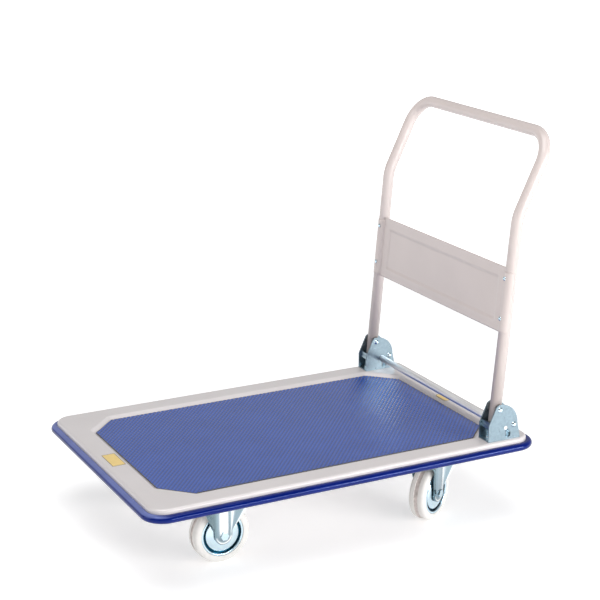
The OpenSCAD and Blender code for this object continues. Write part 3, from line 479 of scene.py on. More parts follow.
def start(name, **sockets):
    """A new material, its tree, its shader with plain values on their sockets, and Object coordinates."""
    material = bpy.data.materials.new(name)
    material.use_nodes = True
    tree = material.node_tree
    shader = tree.nodes["Principled BSDF"]
    for key, value in sockets.items():
        shader.inputs[key.replace("_", " ").title().replace("Ior", "IOR")].default_value = value
    place = node(tree, "TexCoord").outputs["Object"]
    return material, tree, shader, place


def rgba(tint, gain=1.0):
    """A tint with full cover, made lighter or darker."""
    return tuple(min(c * gain, 1.0) for c in tint) + (1.0,)


def ramp(tree, factor, stops):
    """A colour ramp over a factor, from stops of place and colour."""
    made = node(tree, "ValToRGB", {"Fac": factor})
    while len(made.color_ramp.elements) < len(stops):
        made.color_ramp.elements.new(0.5)
    for element, (at, tint) in zip(made.color_ramp.elements, stops):
        element.position = at
        element.color = tint
    return made.outputs["Color"]


def noise(tree, place, scale, detail, stretch=None):
    """Soft noise on a place, stretched where factors are given."""
    if stretch:
        place = node(tree, "Mapping", {"Vector": place, "Scale": stretch}).outputs["Vector"]
    return node(tree, "TexNoise", {"Vector": place, "Scale": scale, "Detail": detail}).outputs["Fac"]


def span(tree, factor, low, high):
    """A factor of 0.3 to 0.7 mapped to a range."""
    sockets = {"Value": factor, "From Min": 0.3, "From Max": 0.7, "To Min": low, "To Max": high}
    return node(tree, "MapRange", sockets).outputs["Result"]


def bump(tree, shader, height, strength, distance):
    """Relief from a height, on the shader's normal."""
    made = node(tree, "Bump", {"Height": height, "Strength": strength, "Distance": distance})
    tree.links.new(made.outputs["Normal"], shader.inputs["Normal"])


def blend(tree, attribute, clean, marked, low=0.0, high=1.0):
    """A colour that goes from one tone to another as an attribute of the mesh goes from low to high."""
    value = node(tree, "Attribute", attribute_name=attribute).outputs["Fac"]
    share = node(tree, "MapRange", {"Value": value, "From Min": low, "From Max": high}).outputs["Result"]
    return node(tree, "Mix", {"Factor": share, 6: clean, 7: marked}, data_type="RGBA").outputs[2]


def tones(tree, factor, tint, gains):
    """A tint made darker at 0.3 of a factor and lighter at 0.7."""
    return ramp(tree, factor, [(at, rgba(tint, gain)) for at, gain in zip((0.3, 0.7), gains)])


def wear(tree, shader, place, gloss=None, relief=None):
    """Uneven gloss and fine relief.

    gloss is a noise's settings and the roughness at its ends; relief is a noise's settings and a bump's
    strength and distance.
    """
    if gloss:
        patches = noise(tree, place, *gloss[:-2])
        tree.links.new(span(tree, patches, *gloss[-2:]), shader.inputs["Roughness"])
    if relief:
        bump(tree, shader, noise(tree, place, *relief[:-2]), *relief[-2:])


def clouded(name, cloud, tint, gains, marked=None, gloss=None, relief=None, **sockets):
    """A finish with a soft cloud of tone, and a second tint where an attribute of the mesh marks it.

    cloud is a noise's settings and gains are the tint's darkest and lightest; marked is the attribute, the
    second tint and its gains.
    """
    material, tree, shader, place = start(name, **sockets)
    factor = noise(tree, place, *cloud)
    tone = tones(tree, factor, tint, gains)
    if marked:
        tone = blend(tree, marked[0], tone, tones(tree, factor, *marked[1:]))
    tree.links.new(tone, shader.inputs["Base Color"])
    wear(tree, shader, place, gloss, relief)
    return material


def gloss_paint(name, tint):
    """Glossy stoved paint with a faint cloud of tone and an orange-peel skin."""
    return clouded(name, (7.0, 3.0), tint, (0.97, 1.03), relief=(420.0, 2.0, 0.06, 0.0006),
                   roughness=0.32, coat_weight=0.4, coat_roughness=0.15)


def deck_cream(c):
    """Paint of the deck."""
    return gloss_paint("deck_cream", c.cream)


def handle_cream(c):
    """Paint of the handle, a little warmer."""
    return gloss_paint("handle_cream", c.handle)


def mat_sheet(c):
    """Soft PVC: even blue with a faint cloud, painted shade in the grooves between the ribs, a painted
    shadow along its edge, and beads slantwise over the ribs.
    """
    material, tree, shader, place = start("mat_sheet", roughness=0.20, specular_ior_level=0.8)
    cloud = noise(tree, place, 11.0, 4.0)
    even = tones(tree, cloud, c.mat, (0.93, 1.07))
    rib_groove_shade = tones(tree, cloud, c.mat, (0.50, 0.58))
    dark = tones(tree, cloud, c.mat_edge_shadow, (0.8, 1.2))
    # Painted shade in the grooves between the ribs, and a painted shadow along the edge
    ribbed = blend(tree, "rib", even, rib_groove_shade)
    tree.links.new(blend(tree, "edge", ribbed, dark, low=0.1, high=0.25), shader.inputs["Base Color"])
    slant = {"Vector": place, "Rotation": (0.0, 0.0, math.radians(-8.7))}
    across = node(tree, "Mapping", slant).outputs["Vector"]
    bands = {"Vector": across, "Scale": 38.5}
    beads = node(tree, "TexWave", bands, wave_type="BANDS", bands_direction="X")
    bump(tree, shader, beads.outputs["Fac"], strength=0.5, distance=0.0006)
    return material


def bumper_strip(c):
    """Extruded PVC: deep glossy blue with faint, uneven patches, and a paler painted sheen on the front
    ledge.
    """
    return clouded("bumper_strip", (16.0, 3.0), c.bumper, (0.85, 1.15), ("dust", c.dust, (0.9, 1.1)),
                   relief=(60.0, 3.0, 0.10, 0.0012), roughness=0.07, specular_ior_level=0.42,
                   specular_tint=rgba(c.bumper_gloss))


def zinc_plate(c):
    """Dull plated sheet: metal with a faint mottled tone, patches of gloss and fine scuffs."""
    material, tree, shader, place = start("zinc_plate", metallic=1.0)
    mottle = noise(tree, place, 120.0, 4.0)
    stops = [(0.30, rgba(c.zinc, 0.91)), (0.52, rgba(c.zinc)), (0.74, rgba(c.zinc, 1.10))]
    tree.links.new(ramp(tree, mottle, stops), shader.inputs["Base Color"])
    wear(tree, shader, place, (160.0, 4.0, 0.26, 0.36), (330.0, 3.0, 0.05, 0.0004))
    return material


def bright_zinc(c):
    """Bright plated sheet: smooth metal with a faint cloud and fine scuffs, with painted shade and a
    painted dark reflection in a rim's ring groove.
    """
    return clouded("bright_zinc", (90.0, 3.0), c.bright, (0.95, 1.04), ("groove", c.ring_groove_shade, (0.8, 1.2)),
                   (200.0, 3.0, 0.13, 0.21), (150.0, 2.0, 0.025, 0.0004), metallic=1.0)


def fork_zinc(c):
    """Bright plated sheet with a painted highlight on the crests of its folds, painted shade in their
    hollows and a dull tone beside them, with fine scuffs.
    """
    material, tree, shader, place = start("fork_zinc", metallic=1.0)
    crest = node(tree, "Attribute", attribute_name="crest").outputs["Fac"]
    stops = [(0.1, rgba(c.shade)), (0.5, rgba(c.dull)), (1.0, rgba(c.crest_highlight))]
    tree.links.new(ramp(tree, crest, stops), shader.inputs["Base Color"])
    wear(tree, shader, place, (200.0, 3.0, 0.15, 0.24), (150.0, 2.0, 0.025, 0.0004))
    return material


def bright_steel(c):
    """Drawn steel with fine lengthwise marks."""
    drawn = (240.0, 3.0, (1.0, 0.04, 1.0))
    return clouded("bright_steel", drawn, c.steel, (0.9, 1.08), gloss=drawn + (0.38, 0.48), metallic=1.0)


def tyre_rubber(c):
    """Pale moulded rubber, a little dusty, with soil in the groove of the tread."""
    return clouded("tyre_rubber", (130.0, 4.0), c.rubber, (0.97, 1.02), ("groove", c.soil, (0.8, 1.25)),
                   relief=(520.0, 3.0, 0.10, 0.0004), roughness=0.52)


def grey_nylon(c):
    """Moulded nylon with a fine grain."""
    grain = (300.0, 2.0)
    return clouded("grey_nylon", grain, c.nylon, (0.8, 1.3), relief=grain + (0.1, 0.0003), roughness=0.45)


def label_film(c):
    """Printed film, plain yellow with a faint cloud."""
    return clouded("label_film", (60.0, 3.0), c.label, (0.95, 1.05), roughness=0.3)


def label_line(c):
    """The dark line round a label, a little uneven."""
    return clouded("label_line", (200.0, 3.0), c.label_edge, (0.8, 1.4), roughness=0.35)


def studio_floor(c):
    """Pale matt floor with the faintest cloud, lit a little from below, and more so far from the truck."""
    material, tree, shader, place = start("studio_floor", roughness=0.8)
    tone = tones(tree, noise(tree, place, 0.6, 2.0), c.floor, (0.995, 1.005))
    tree.links.new(tone, shader.inputs["Base Color"])
    away = node(tree, "VectorMath", {0: place}, operation="LENGTH").outputs["Value"]
    sockets = {"Value": away, "From Min": 1.2, "From Max": 4.0, "To Min": 0.35, "To Max": 1.0}
    tree.links.new(node(tree, "MapRange", sockets).outputs["Result"], shader.inputs["Emission Strength"])
    return material


MAKERS = {made.__name__: made for made in (
    deck_cream, handle_cream, mat_sheet, bumper_strip, zinc_plate, bright_zinc, fork_zinc, bright_steel,
    tyre_rubber, grey_nylon, label_film, label_line, studio_floor)}
FINISHES = {}


def finish_of(name):
    """A finish by its name, made once."""
    if name not in FINISHES:
        FINISHES[name] = MAKERS[name](bpy.context.scene.truck_colours)
    return FINISHES[name]


# Deck


def deck_half(d):
    """Half the length and half the width of the deck, inside its flange."""
    return (PAN_HIGH.x - PAN_LOW.x) / 2 - d.flange, (PAN_HIGH.y - PAN_LOW.y) / 2 - d.flange


def deck_rings(chain, d):
    """Round outlines of the deck, grown by each run of a chain (run, height) and raised to its height."""
    half_l, half_w = deck_half(d)
    return [lifted(round_outline(half_l + g, half_w + g, d.corner + g), z) for g, z in chain]


def build_deck(d):
    """Rings from the recess's floor out to the flange, each an outline at a height.

    The recess wall runs (0, 0), (wall, depth) with its two corners rounded; its rings are cut rectangles
    that grow by the run, and their cuts by 2 - sqrt 2 of it. The edge runs down a quarter circle, the
    skirt and a bent flange; its rings are round rectangles that grow by the run.
    """
    floor_l, floor_w = (half - d.rim - d.wall for half in deck_half(d))
    gap = floor_l - (MAT_HIGH.x - MAT_LOW.x) / 2
    growth = 2 - math.sqrt(2)
    under, over, flat = 0.012, 0.006, 0.0005
    cut_round, cut_growth, skirt_foot = 0.006, 0.3, 0.0015
    wall = rounded([(-under, 0.0), (0.0, 0.0), (d.wall, d.depth), (d.wall + over, d.depth)],
                   (0.0, d.wall_foot, d.wall_head, 0.0), steps=6, closed=False)
    inner = [lifted(cut_outline(floor_l + g, floor_w + g, d.cut + growth * (gap + g),
                                cut_round + cut_growth * max(g, 0.0)), MAT_LOW.z + z) for g, z in wall]
    top, low = PAN_HIGH.z, PAN_LOW.z + d.sheet
    edge = rounded([(-d.edge - flat, top), (0.0, top), (0.0, low), (d.flange, low)],
                   (0.0, d.edge, skirt_foot, 0.0), steps=8, closed=False)
    rings = np.stack(inner + deck_rings(edge, d))
    faces = grid_quads(rings, close_columns=True, toward=UP).tolist()
    faces.append(range(rings.shape[1]))
    pan = put("pressed_deck", rings, faces, "deck_cream", "platform", ["deck_pan"],
              sharp=50.0)
    give_wall(pan, d.sheet)


def build_mat(d):
    """A ribbed sheet cut to the recess.

    Lines along the ribs at s across them are clipped by the eight sides n.p = k of the cut rectangle, and
    stand at top - depth |cos(pi s / pitch)|^4. Each gives two points on the floor and four on top, two of
    them inside the painted shadow band along the edge.
    """
    lines_per_rib, slack, most = 8, 0.0004, 0.45
    half = (np.array(MAT_HIGH) - np.array(MAT_LOW)) / 2
    q = math.sqrt(0.5)
    sides = np.array([(1, 0), (-1, 0), (0, 1), (0, -1), (q, q), (-q, q), (-q, -q), (q, -q)], float)
    reach = np.repeat([half[0], half[1], (half[0] + half[1] - d.cut) * q], (2, 2, 4))
    along = np.array([math.cos(d.rib_turn), math.sin(d.rib_turn)])
    across = np.array([-along[1], along[0]])
    corners = np.array([(half[0], half[1] - d.cut), (half[0] - d.cut, half[1])])
    far = (corners @ np.abs(across)).max() - slack
    count = int(lines_per_rib * 2 * far / d.rib_pitch)
    s = np.linspace(-far, far, count)
    run = sides @ along
    widths = d.shadow_band + (d.near_shadow_band - d.shadow_band) * np.maximum(-sides[:, 1], 0.0) ** 2
    room = reach - s[:, None] * (sides @ across)
    ends, bands = [], []
    for way in (-1.0, 1.0):
        met = way * run > 1e-6
        limits = room[:, met] / run[met]
        which = (way * limits).argmin(1)
        ends.append(limits[np.arange(count), which])
        bands.append(way * (widths[met] / run[met])[which])
    low, high = ends
    spare = most * (high - low)
    inner_low, inner_high = low + np.minimum(bands[0], spare), high - np.minimum(bands[1], spare)
    groove = np.abs(np.cos(math.pi * s / d.rib_pitch)) ** 4
    top = MAT_HIGH.z - d.rib_depth * groove
    floor = np.full(count, MAT_LOW.z)
    t = np.stack([low, low, inner_low, inner_high, high, high], -1)[..., None]
    z = np.stack([floor, top, top, top, top, floor], -1)
    flat = s[:, None, None] * across + t * along + DECK_MIDDLE[:2]
    points = np.concatenate([flat, z[..., None]], -1)
    mat = put("ribbed_mat", points, capped(points), "mat_sheet", "platform", ["deck_mat"],
              sharp=60.0)
    # Painted shadow along the mat's edge, and painted shade in the grooves between the ribs
    mark(mat, "edge", np.tile([1, 1, 0, 0, 1, 1], count))
    mark(mat, "rib", np.repeat(np.sqrt(groove), 6))


def build_bumper(d):
    """A closed section carried round the deck's outline, with a painted sheen on its front ledge.

    Each corner of the section is its run out, its height and its rounding.
    """
    out = (BUMPER_HIGH.x - BUMPER_LOW.x) / 2 - deck_half(d)[0]
    low, high = BUMPER_LOW.z, BUMPER_HIGH.z
    hair, foot, crisp = 0.00002, 0.0008, 0.00005
    nose = (high - low) / 2 - hair
    slot_low, slot_high, slot_end = PAN_LOW.z - PLAY, PAN_LOW.z + d.sheet + PLAY, d.flange + PLAY
    corners = np.array([
        (PLAY, low, foot), (out, low, nose), (out, high, nose), (PLAY, high, d.bumper_lip),
        (PLAY, slot_high, crisp), (slot_end, slot_high, crisp), (slot_end, slot_low, crisp),
        (PLAY, slot_low, crisp)])
    section = rounded(corners[:, :2], corners[:, 2], steps=9, closed=True)
    rings = np.stack(deck_rings(section, d))
    faces = closed_quads(rings)
    strip = put("edge_strip", rings, faces, "bumper_strip", "platform", ["edge_bumper"])
    # Painted sheen: the upper ledge at the front end is marked paler
    ledge_start, ledge_fade, sheen_start, sheen_fade = 0.5 * nose, 0.3 * nose, 0.05, 0.04
    ledge = smooth((rings[..., 2] - (low + high) / 2 - ledge_start) / ledge_fade)
    mark(strip, "dust", ledge * smooth((BUMPER_LOW.x + sheen_start - rings[..., 0]) / sheen_fade))


def build_label(name, centre, length, width, r, d):
    """A thin plate on the rim: an outline, the same raised, and the field a line's width inside it."""
    line = d.label_line
    outline = round_outline(width / 2, length / 2, r) + centre
    field = round_outline(width / 2 - line, length / 2 - line, max(r - line, PLAY)) + centre
    base, top = PAN_HIGH.z, PAN_HIGH.z + d.label_thickness
    rings = np.stack([lifted(outline, base), lifted(outline, top), lifted(field, top)])
    faces = capped(rings, UP)
    plate = put(name, rings, faces, "label_film", "platform")
    plate.data.materials.append(finish_of("label_line"))
    shares = np.ones(len(faces), np.int32)
    shares[-2:] = 0
    plate.data.polygons.foreach_set("material_index", shares)


# Handle


def build_tube(h):
    """A circle carried along the bow: foot, bend and top corner of each leg, with the corners rounded.

    The section's side is the path's direction crossed with a line square to both legs and top bar.
    """
    lean = np.array([math.sin(h.lean), 0.0, math.cos(h.lean)])
    upper = np.array([math.sin(h.top_lean), 0.0, math.cos(h.top_lean)])
    left = [HINGE - h.foot * lean, HINGE + h.leg * lean, HINGE + h.leg * lean + h.upper * upper]
    mirror = np.array([1.0, -1.0, 1.0])
    chain = np.array(left + [p * mirror for p in left[::-1]])
    path = rounded(chain, (0.0, h.bend, h.corner, h.corner, h.bend, 0.0), BEND_STEPS, closed=False)
    ahead = unit(np.gradient(path, axis=0))
    square = unit(np.cross(np.array([0.0, 1.0, 0.0]), unit(lean + upper)))
    side = unit(np.cross(ahead, square))
    up = np.cross(side, ahead)
    points = swept(ring(TUBE_STEPS) * h.tube / 2, path, side, up)
    faces = grid_quads(points, close_columns=True, toward=points - path[:, None])
    bow = put("handle_bow", points, faces, "handle_cream", "handle", ["handle_tube"])
    give_wall(bow, h.wall)


def build_panel(h):
    """The panel as a function of u along its width and v up its height, in the leaning legs' frame.

    Between the legs it is flat, panel_front before their centres. Where it meets a leg it folds and wraps
    the leg's front: at the turn f from the leg's inner side it is R sin f before the centre and R cos f
    inside it. The wrapped ends are cut back above and below, and rounded: at e from an end by
    r - sqrt(r^2 - (r - e)^2) more. The field sinks by depth times the soft step of the distance inside a
    round rectangle over the wall's width.
    """
    crease, wrap_steps, flat_steps, height_steps = 0.0003, 33, 201, 57
    half = abs(HINGE[1])
    fold = math.asin(h.panel_front / h.panel_wrap)
    flat = half - h.panel_wrap * math.cos(fold)
    end = flat + h.panel_wrap * (math.pi - fold)
    wrapped = np.concatenate([[flat - crease], np.linspace(flat, end, wrap_steps)])
    u = np.unique(np.concatenate([-wrapped, np.linspace(-flat, flat, flat_steps), wrapped]))[:, None]
    v = np.linspace(0.0, 1.0, height_steps)[None]
    turn = fold + np.maximum(np.abs(u) - flat, 0.0) / h.panel_wrap
    tab = np.abs(u) > flat - crease / 2
    inside = np.clip(h.tab_round - (end - np.abs(u)), 0.0, h.tab_round)
    corner = h.tab_round - np.sqrt(h.tab_round ** 2 - inside ** 2)
    foot = h.tab_foot * tab + corner
    z = foot + (h.panel_height - h.tab_head * tab - corner - foot) * v - h.panel_height / 2
    out = np.minimum(np.abs(u), flat) + half - flat - h.panel_wrap * np.cos(turn)
    y = np.sign(u) * out + 0.0 * v
    low = np.array([h.field_end - half, h.field_foot - h.panel_height / 2])
    high = np.array([half - h.field_end, h.panel_height / 2 - h.field_head])
    box = (high - low) / 2 - h.field_corner
    off = np.abs(np.stack([y, z], -1) - (low + high) / 2) - box
    away = np.linalg.norm(np.maximum(off, 0.0), axis=-1) + np.minimum(off.max(-1), 0.0) - h.field_corner
    x = -h.panel_wrap * np.sin(turn) + h.field_depth * smooth(-away / h.field_wall)
    up = h.panel_up + h.panel_height / 2 + z
    c, s = math.cos(h.lean), math.sin(h.lean)
    points = np.stack([HINGE[0] + x * c + up * s, y, HINGE[2] - x * s + up * c], -1)
    faces = grid_quads(points, toward=(-1.0, 0.0, 0.0))
    sheet = put("pressed_panel", points, faces, "handle_cream", "handle", ["handle_panel"],
                sharp=60.0)
    give_wall(sheet, h.panel_sheet)


# Hinges


def build_spring(name, k):
    """Round wire along a cone: while the angle makes its turns, the radius falls and the height rises."""
    low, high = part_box("return_spring_" + name)
    foot_x, foot_y, floor_z = low.x + k.spring_foot / 2, middle("hinge_bracket_" + name)[1], low.z
    u = np.linspace(0.0, 1.0, int(COIL_STEPS * k.turns) + 1)[:, None]
    a = 2 * math.pi * k.turns * u
    r = (k.spring_foot + (k.spring_top - k.spring_foot) * u - k.wire) / 2
    radial = np.concatenate([np.cos(a), np.sin(a), 0.0 * a], -1)
    rise = np.array([spring_top_x(name, k) - foot_x, 0.0, high.z - low.z - k.wire])
    path = np.array([foot_x, foot_y, floor_z + k.wire / 2]) + u * rise + r * radial
    points = swept(ring(WIRE_STEPS) * k.wire / 2, path, radial, np.tile(UP, (len(u), 1)))
    faces = capped(points, points - path[:, None])
    coil = put("coil_" + name, points, faces, "bright_steel", "platform",
               ["return_spring_" + name])
    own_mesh(coil)


def spring_top_x(name, k):
    """Where the top turn's centre is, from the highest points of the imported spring."""
    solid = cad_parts["return_spring_" + name]
    flat = np.zeros(3 * len(solid.data.vertices))
    solid.data.vertices.foreach_get("co", flat)
    points = flat.reshape(-1, 3)
    band = 0.25 * k.wire
    end = points[points[:, 2] > points[:, 2].max() - band]
    return end[:, 0].mean() - (k.spring_top - k.wire) / 2


# Casters


def caster_places():
    """End, side, body, origin on the floor under the pin or wheel, and turn of each caster."""
    places = []
    for name in SIDES:
        wheel = middle("front_tyre_" + name)
        turn = 0.0 if name == "left" else math.pi
        places.append(("front", name, "platform", (wheel[0], wheel[1], 0.0), turn))
    for name in SIDES:
        wheel, pin = middle("rear_tyre_" + name), middle("kingpin_" + name)
        turn = math.atan2(pin[1] - wheel[1], pin[0] - wheel[0])
        places.append(("rear", name, "swivel_" + name, (pin[0], pin[1], 0.0), turn))
    return places


def build_wheel(end, name, turn, w):
    """Tyre and rim halves: closed sections with rounded corners, carried round the axle."""
    centre = middle(f"{end}_tyre_{name}")
    axis = np.array([math.sin(turn), -math.cos(turn), 0.0])
    half, r = w.width / 2, w.wheel / 2
    seat, g, deep = w.rim / 2, w.groove_width / 2, r - w.groove_depth
    fine, brim = 0.0006, 0.0009
    section = rounded(
        [(seat, -half), (r, -half), (r, -g), (deep, -g), (deep, g), (r, g), (r, half), (seat, half)],
        (fine, w.shoulder, brim, fine, fine, brim, w.shoulder, fine), steps=9, closed=True)
    points = turned(section, centre, axis, TYRE_STEPS)
    faces = closed_quads(points)
    body = f"{end}_wheel_{name}"
    tyre = put(f"{end}_tread_{name}", points, faces, "tyre_rubber", body,
               [f"{end}_tyre_{name}"])
    soil_fade, soil_edge = 0.0014, 0.0005
    soil = smooth((r - section[:, 0] - PLAY) / soil_fade) * (np.abs(section[:, 1]) < g + soil_edge)
    mark(tyre, "groove", np.broadcast_to(soil, points.shape[:2]))
    build_rim(end, name, centre, axis, body, w)


def build_rim(end, name, centre, axis, body, w):
    """Two pressed halves, each a closed section: tyre seat, rolled lip, ring groove, domed disc and hub.

    Each corner of the section is its radius, its height and its rounding.
    """
    sheet, half, rim_r = w.rim_sheet, w.width / 2, w.rim / 2
    lip_r = rim_r - w.lip
    disc_r = lip_r - w.ring
    press_fit, near = 0.00003, 0.0003
    bore = w.bearing / 2 + press_fit
    hub = bore + sheet
    low, face = half - w.ring_depth, half + w.dome
    knee_r, knee_z = 0.62 * disc_r + 0.38 * hub, half + 0.25 * w.dome
    crisp, inner, lip, ledge = 0.0003, 0.001, 0.0022, 0.0012
    corners = np.array([
        (rim_r, near, crisp), (rim_r, half, lip), (lip_r, half, lip), (lip_r, low, ledge),
        (disc_r, low, ledge), (disc_r, half - sheet, 0.0028), (knee_r, knee_z, 0.02),
        (hub + sheet, face, 0.003), (bore, face, 0.0008), (bore, near, crisp), (hub, near, crisp),
        (hub, face - sheet, 0.002),
        (disc_r - sheet, half - 2 * sheet, inner), (disc_r - sheet, low - sheet, inner),
        (rim_r - sheet, low - sheet, inner), (rim_r - sheet, near, crisp)])
    section = rounded(corners[:, :2], corners[:, 2], steps=6, closed=True)
    points = np.stack([turned(section, centre, s * axis, RIM_STEPS) for s in (1.0, -1.0)])
    faces = [closed_quads(p) + k * p.shape[0] * p.shape[1] for k, p in enumerate(points)]
    disc = put(f"{end}_disc_{name}", points, np.concatenate(faces), "bright_zinc", body,
               [f"{end}_rim_{name}"])
    # Painted shade: the ring groove between lip and disc is marked darker, for its shade and dark
    # reflection
    slack, ring_groove_shade_fade = 0.0006, 0.003
    inside = (section[:, 0] > disc_r - slack) & (section[:, 0] < lip_r + slack)
    ring_groove_shade = inside * smooth((half - section[:, 1] - lip) / ring_groove_shade_fade)
    mark(disc, "groove", np.broadcast_to(ring_groove_shade, points.shape[:3]))


def wing_edge(reach, wing, top, w):
    """How far one edge of a fork's leg reaches from the axle, and how far it flares, by height.

    A chain of height, reach and flare from the crown's corner to the wing's tip, level with the wheel's
    top, and on to the leg's side, with its corners rounded.
    """
    foot = w.wheel / 2 + w.fork_end / 2
    flare = w.flare * (wing - w.fork_end) / (w.wing - w.fork_end)
    chain = [(top - w.fork_bend, reach, 0.0), (w.wheel, wing, flare), (foot, w.fork_end, 0.0),
             (w.wheel / 2, w.fork_end, 0.0)]
    radii = (0.0, w.wing_round, 0.8 * w.wing_round, 0.0)
    return rounded(chain, radii, steps=12, closed=False)[::-1].T


def fork_points(front, rear, axle_x, top, front_wing, w):
    """A pressed fork as a function of the way over its crown and down both legs, and of the place across.

    The way is an arch: flat crown, quarter bend, upright leg with a round end about the axle. Across, the
    leg's middle runs between its two folds, and a wing runs on from each fold to the edge. Outward relief
    is the rib's height times 1 - q^2 at the share q of a round-ended rib's half width, plus the edge's
    flare times t^1.4 across a wing.
    """
    out = w.width / 2 + w.fork_clear + w.fork_sheet
    axle_z, end, bend = w.wheel / 2, w.fork_end, w.fork_bend
    blunt, fold_share, fold_most, curl, rib_fade = 0.985, 0.85, 0.8, 1.4, 0.006
    crown_steps, bend_steps, leg_steps, tip_steps = 6, 9, 44, 14
    crown = np.linspace(0.0, out - bend, crown_steps)[:-1]
    f = np.linspace(0.0, math.pi / 2, bend_steps)
    leg = np.linspace(top - bend, axle_z, leg_steps)[1:]
    tip = axle_z - end * np.sin(np.linspace(0.0, math.asin(blunt), tip_steps))[1:]
    upright = np.ones(len(leg) + len(tip))
    y = np.concatenate([crown, out - bend + bend * np.sin(f), out * upright])
    z = np.concatenate([top + 0.0 * crown, top - bend + bend * np.cos(f), leg, tip])
    ny = np.concatenate([0.0 * crown, np.sin(f), upright])
    nz = np.concatenate([1.0 + 0.0 * crown, np.cos(f), 0.0 * upright])
    halves = ((-1, y), (1, z), (-1, ny), (1, nz))
    y, z, ny, nz = (np.concatenate([s * q[:0:-1], q])[:, None] for s, q in halves)
    round_half = np.sqrt(np.maximum(end ** 2 - np.minimum(z - axle_z, 0.0) ** 2, 0.0))
    t = np.linspace(0.0, 1.0, WING_STEPS)[None]
    parts, flares = [], []
    for corner_x, wing, s in ((front, front_wing, -1), (rear, w.wing, 1)):
        heights, reaches, lifts = wing_edge(abs(corner_x - axle_x), wing, top, w)
        reach = np.where(z > axle_z, np.interp(z, heights, reaches), round_half)
        fold = np.minimum(fold_share * end, fold_most * reach)
        parts.append((fold, axle_x + s * (fold + (reach - fold) * t)))
        flares.append(np.interp(z, heights, lifts, left=0.0) * t ** curl)
    share = np.linspace(-1.0, 1.0, RIB_STEPS)[None, 1:-1]
    leg_x = axle_x + np.where(share < 0, parts[0][0], parts[1][0]) * share
    x = np.concatenate([parts[0][1][:, ::-1], leg_x, parts[1][1]], 1)
    flare = np.concatenate([flares[0][:, ::-1], 0.0 * leg_x, flares[1]], 1)
    off = np.hypot(x - axle_x, np.minimum(z - axle_z, 0.0))
    on_leg = smooth((top - bend - z) / rib_fade)
    relief = w.rib_height * np.maximum(1 - (2 * off / w.rib_width) ** 2, 0.0) * on_leg + flare
    return np.stack([x, y + ny * relief, z + nz * relief], -1)


def fork_painted_light(sheet, axle_x, gloss, fold_at, fold_width, w):
    """Painted light on a fork, from 0 for painted shade in a hollow to 1 for a painted highlight on a
    crest.

    With v the place across, -1 and 1 at the folds and -2 and 2 at the wings' edges, it is 0.5 and half the
    largest of four painted highlights: the rib's soft plateau scaled by gloss, a bell at the rear fold,
    the rear wing's edge and, under the axle, a bell along the round end. The front wing loses a little as
    painted shade.
    """
    plateau, plateau_fade, edge_at, edge_fade = 0.45, 0.28, 1.78, 0.15
    end_at, end_width, front_at, front_fade, front_loss = 0.84, 0.09, 0.8, 0.3, 0.2
    axle_low, axle_fade = 0.004, 0.012
    wing = np.linspace(0.0, 1.0, WING_STEPS)
    v = np.concatenate([-1 - wing[::-1], np.linspace(-1.0, 1.0, RIB_STEPS)[1:-1], 1 + wing])[None]
    x, z = sheet[..., 0] - axle_x, sheet[..., 2] - w.wheel / 2
    high = smooth((z + axle_low) / axle_fade)
    rib = gloss * high * (1 - smooth((np.abs(v) - plateau) / plateau_fade))
    fold = high * np.exp(-((v - fold_at) / fold_width) ** 2)
    edge = smooth((v - edge_at) / edge_fade)
    end = np.exp(-((np.hypot(x, z) / w.fork_end - end_at) / end_width) ** 2) * smooth(-z / axle_low)
    crest = np.maximum(np.maximum(rib, fold), np.maximum(edge, end))
    return 0.5 + 0.5 * crest - front_loss * smooth((-v - front_at) / front_fade)


def build_fork(end, name, body, origin, turn, w):
    """A caster's fork, with the plate above it or the ball race on its crown."""
    top = w.plate_top - w.plate
    if end == "front":
        half = w.fork_top / 2
        sheet = fork_points(-half, half, 0.0, top, w.wing, w)
        # Painted highlight: gloss sets how bright the rib is painted, full on the fixed fork and faint on
        # the swivel fork
        crest = fork_painted_light(sheet, 0.0, gloss=1.0, fold_at=1.12, fold_width=0.14, w=w)
        node_name = "fixed_fork_" + name
    else:
        top = top - 2 * w.race - w.race_gap
        sheet = fork_points(-w.trail - w.swivel_top, w.swivel_top, -w.trail, top, w.lead_wing, w)
        crest = fork_painted_light(sheet, -w.trail, gloss=0.1, fold_at=0.95, fold_width=0.26, w=w)
        node_name = "swivel_fork_" + name
    points = set_down(sheet, origin, turn)
    faces = grid_quads(points, toward=UP)
    fork = put(f"{end}_fork_{name}", points, faces, "fork_zinc", body, [node_name], sharp=50.0)
    # Painted light: the crest mark paints shade, plain tone and highlight into the fork's colour
    mark(fork, "crest", crest)
    give_wall(fork, w.fork_sheet)
    soften(fork, FORK_EDGE)
    if end == "front":
        outline = round_outline(w.plate_length / 2, w.plate_width / 2, w.plate_corner)
        levels = (top, w.plate_top)
        rings = np.stack([np.column_stack([outline, np.full(len(outline), z)]) for z in levels])
        rings = set_down(rings, origin, turn)
        soften(put("front_plate_" + name, rings, capped(rings), "bright_zinc", body), FORK_EDGE)
    else:
        low, high, race_round = top - w.fork_sheet, top + w.race, 0.0012
        section = rounded([(w.race_inner, low), (w.race_outer, low), (w.race_outer, high),
                           (w.race_inner, high)], race_round, steps=5, closed=True)
        race = turned(section, origin, UP, RACE_STEPS)
        put("lower_race_" + name, race, closed_quads(race), "bright_zinc", body)


# Operators


class TRUCK_OT_deck(bpy.types.Operator):
    """Presses the deck with its rim, sloping recess, rounded edge and flange"""

    bl_idname = "truck.deck"
    bl_label = "Deck"

    def execute(self, context):
        build_deck(context.scene.truck_deck)
        dress(["front_cross_channel", "rear_cross_channel", "centre_channel"], "deck_cream", CHANNEL_EDGE)
        return {"FINISHED"}


class TRUCK_OT_mat(bpy.types.Operator):
    """Lays the ribbed mat into the recess"""

    bl_idname = "truck.mat"
    bl_label = "Mat"

    def execute(self, context):
        build_mat(context.scene.truck_deck)
        return {"FINISHED"}


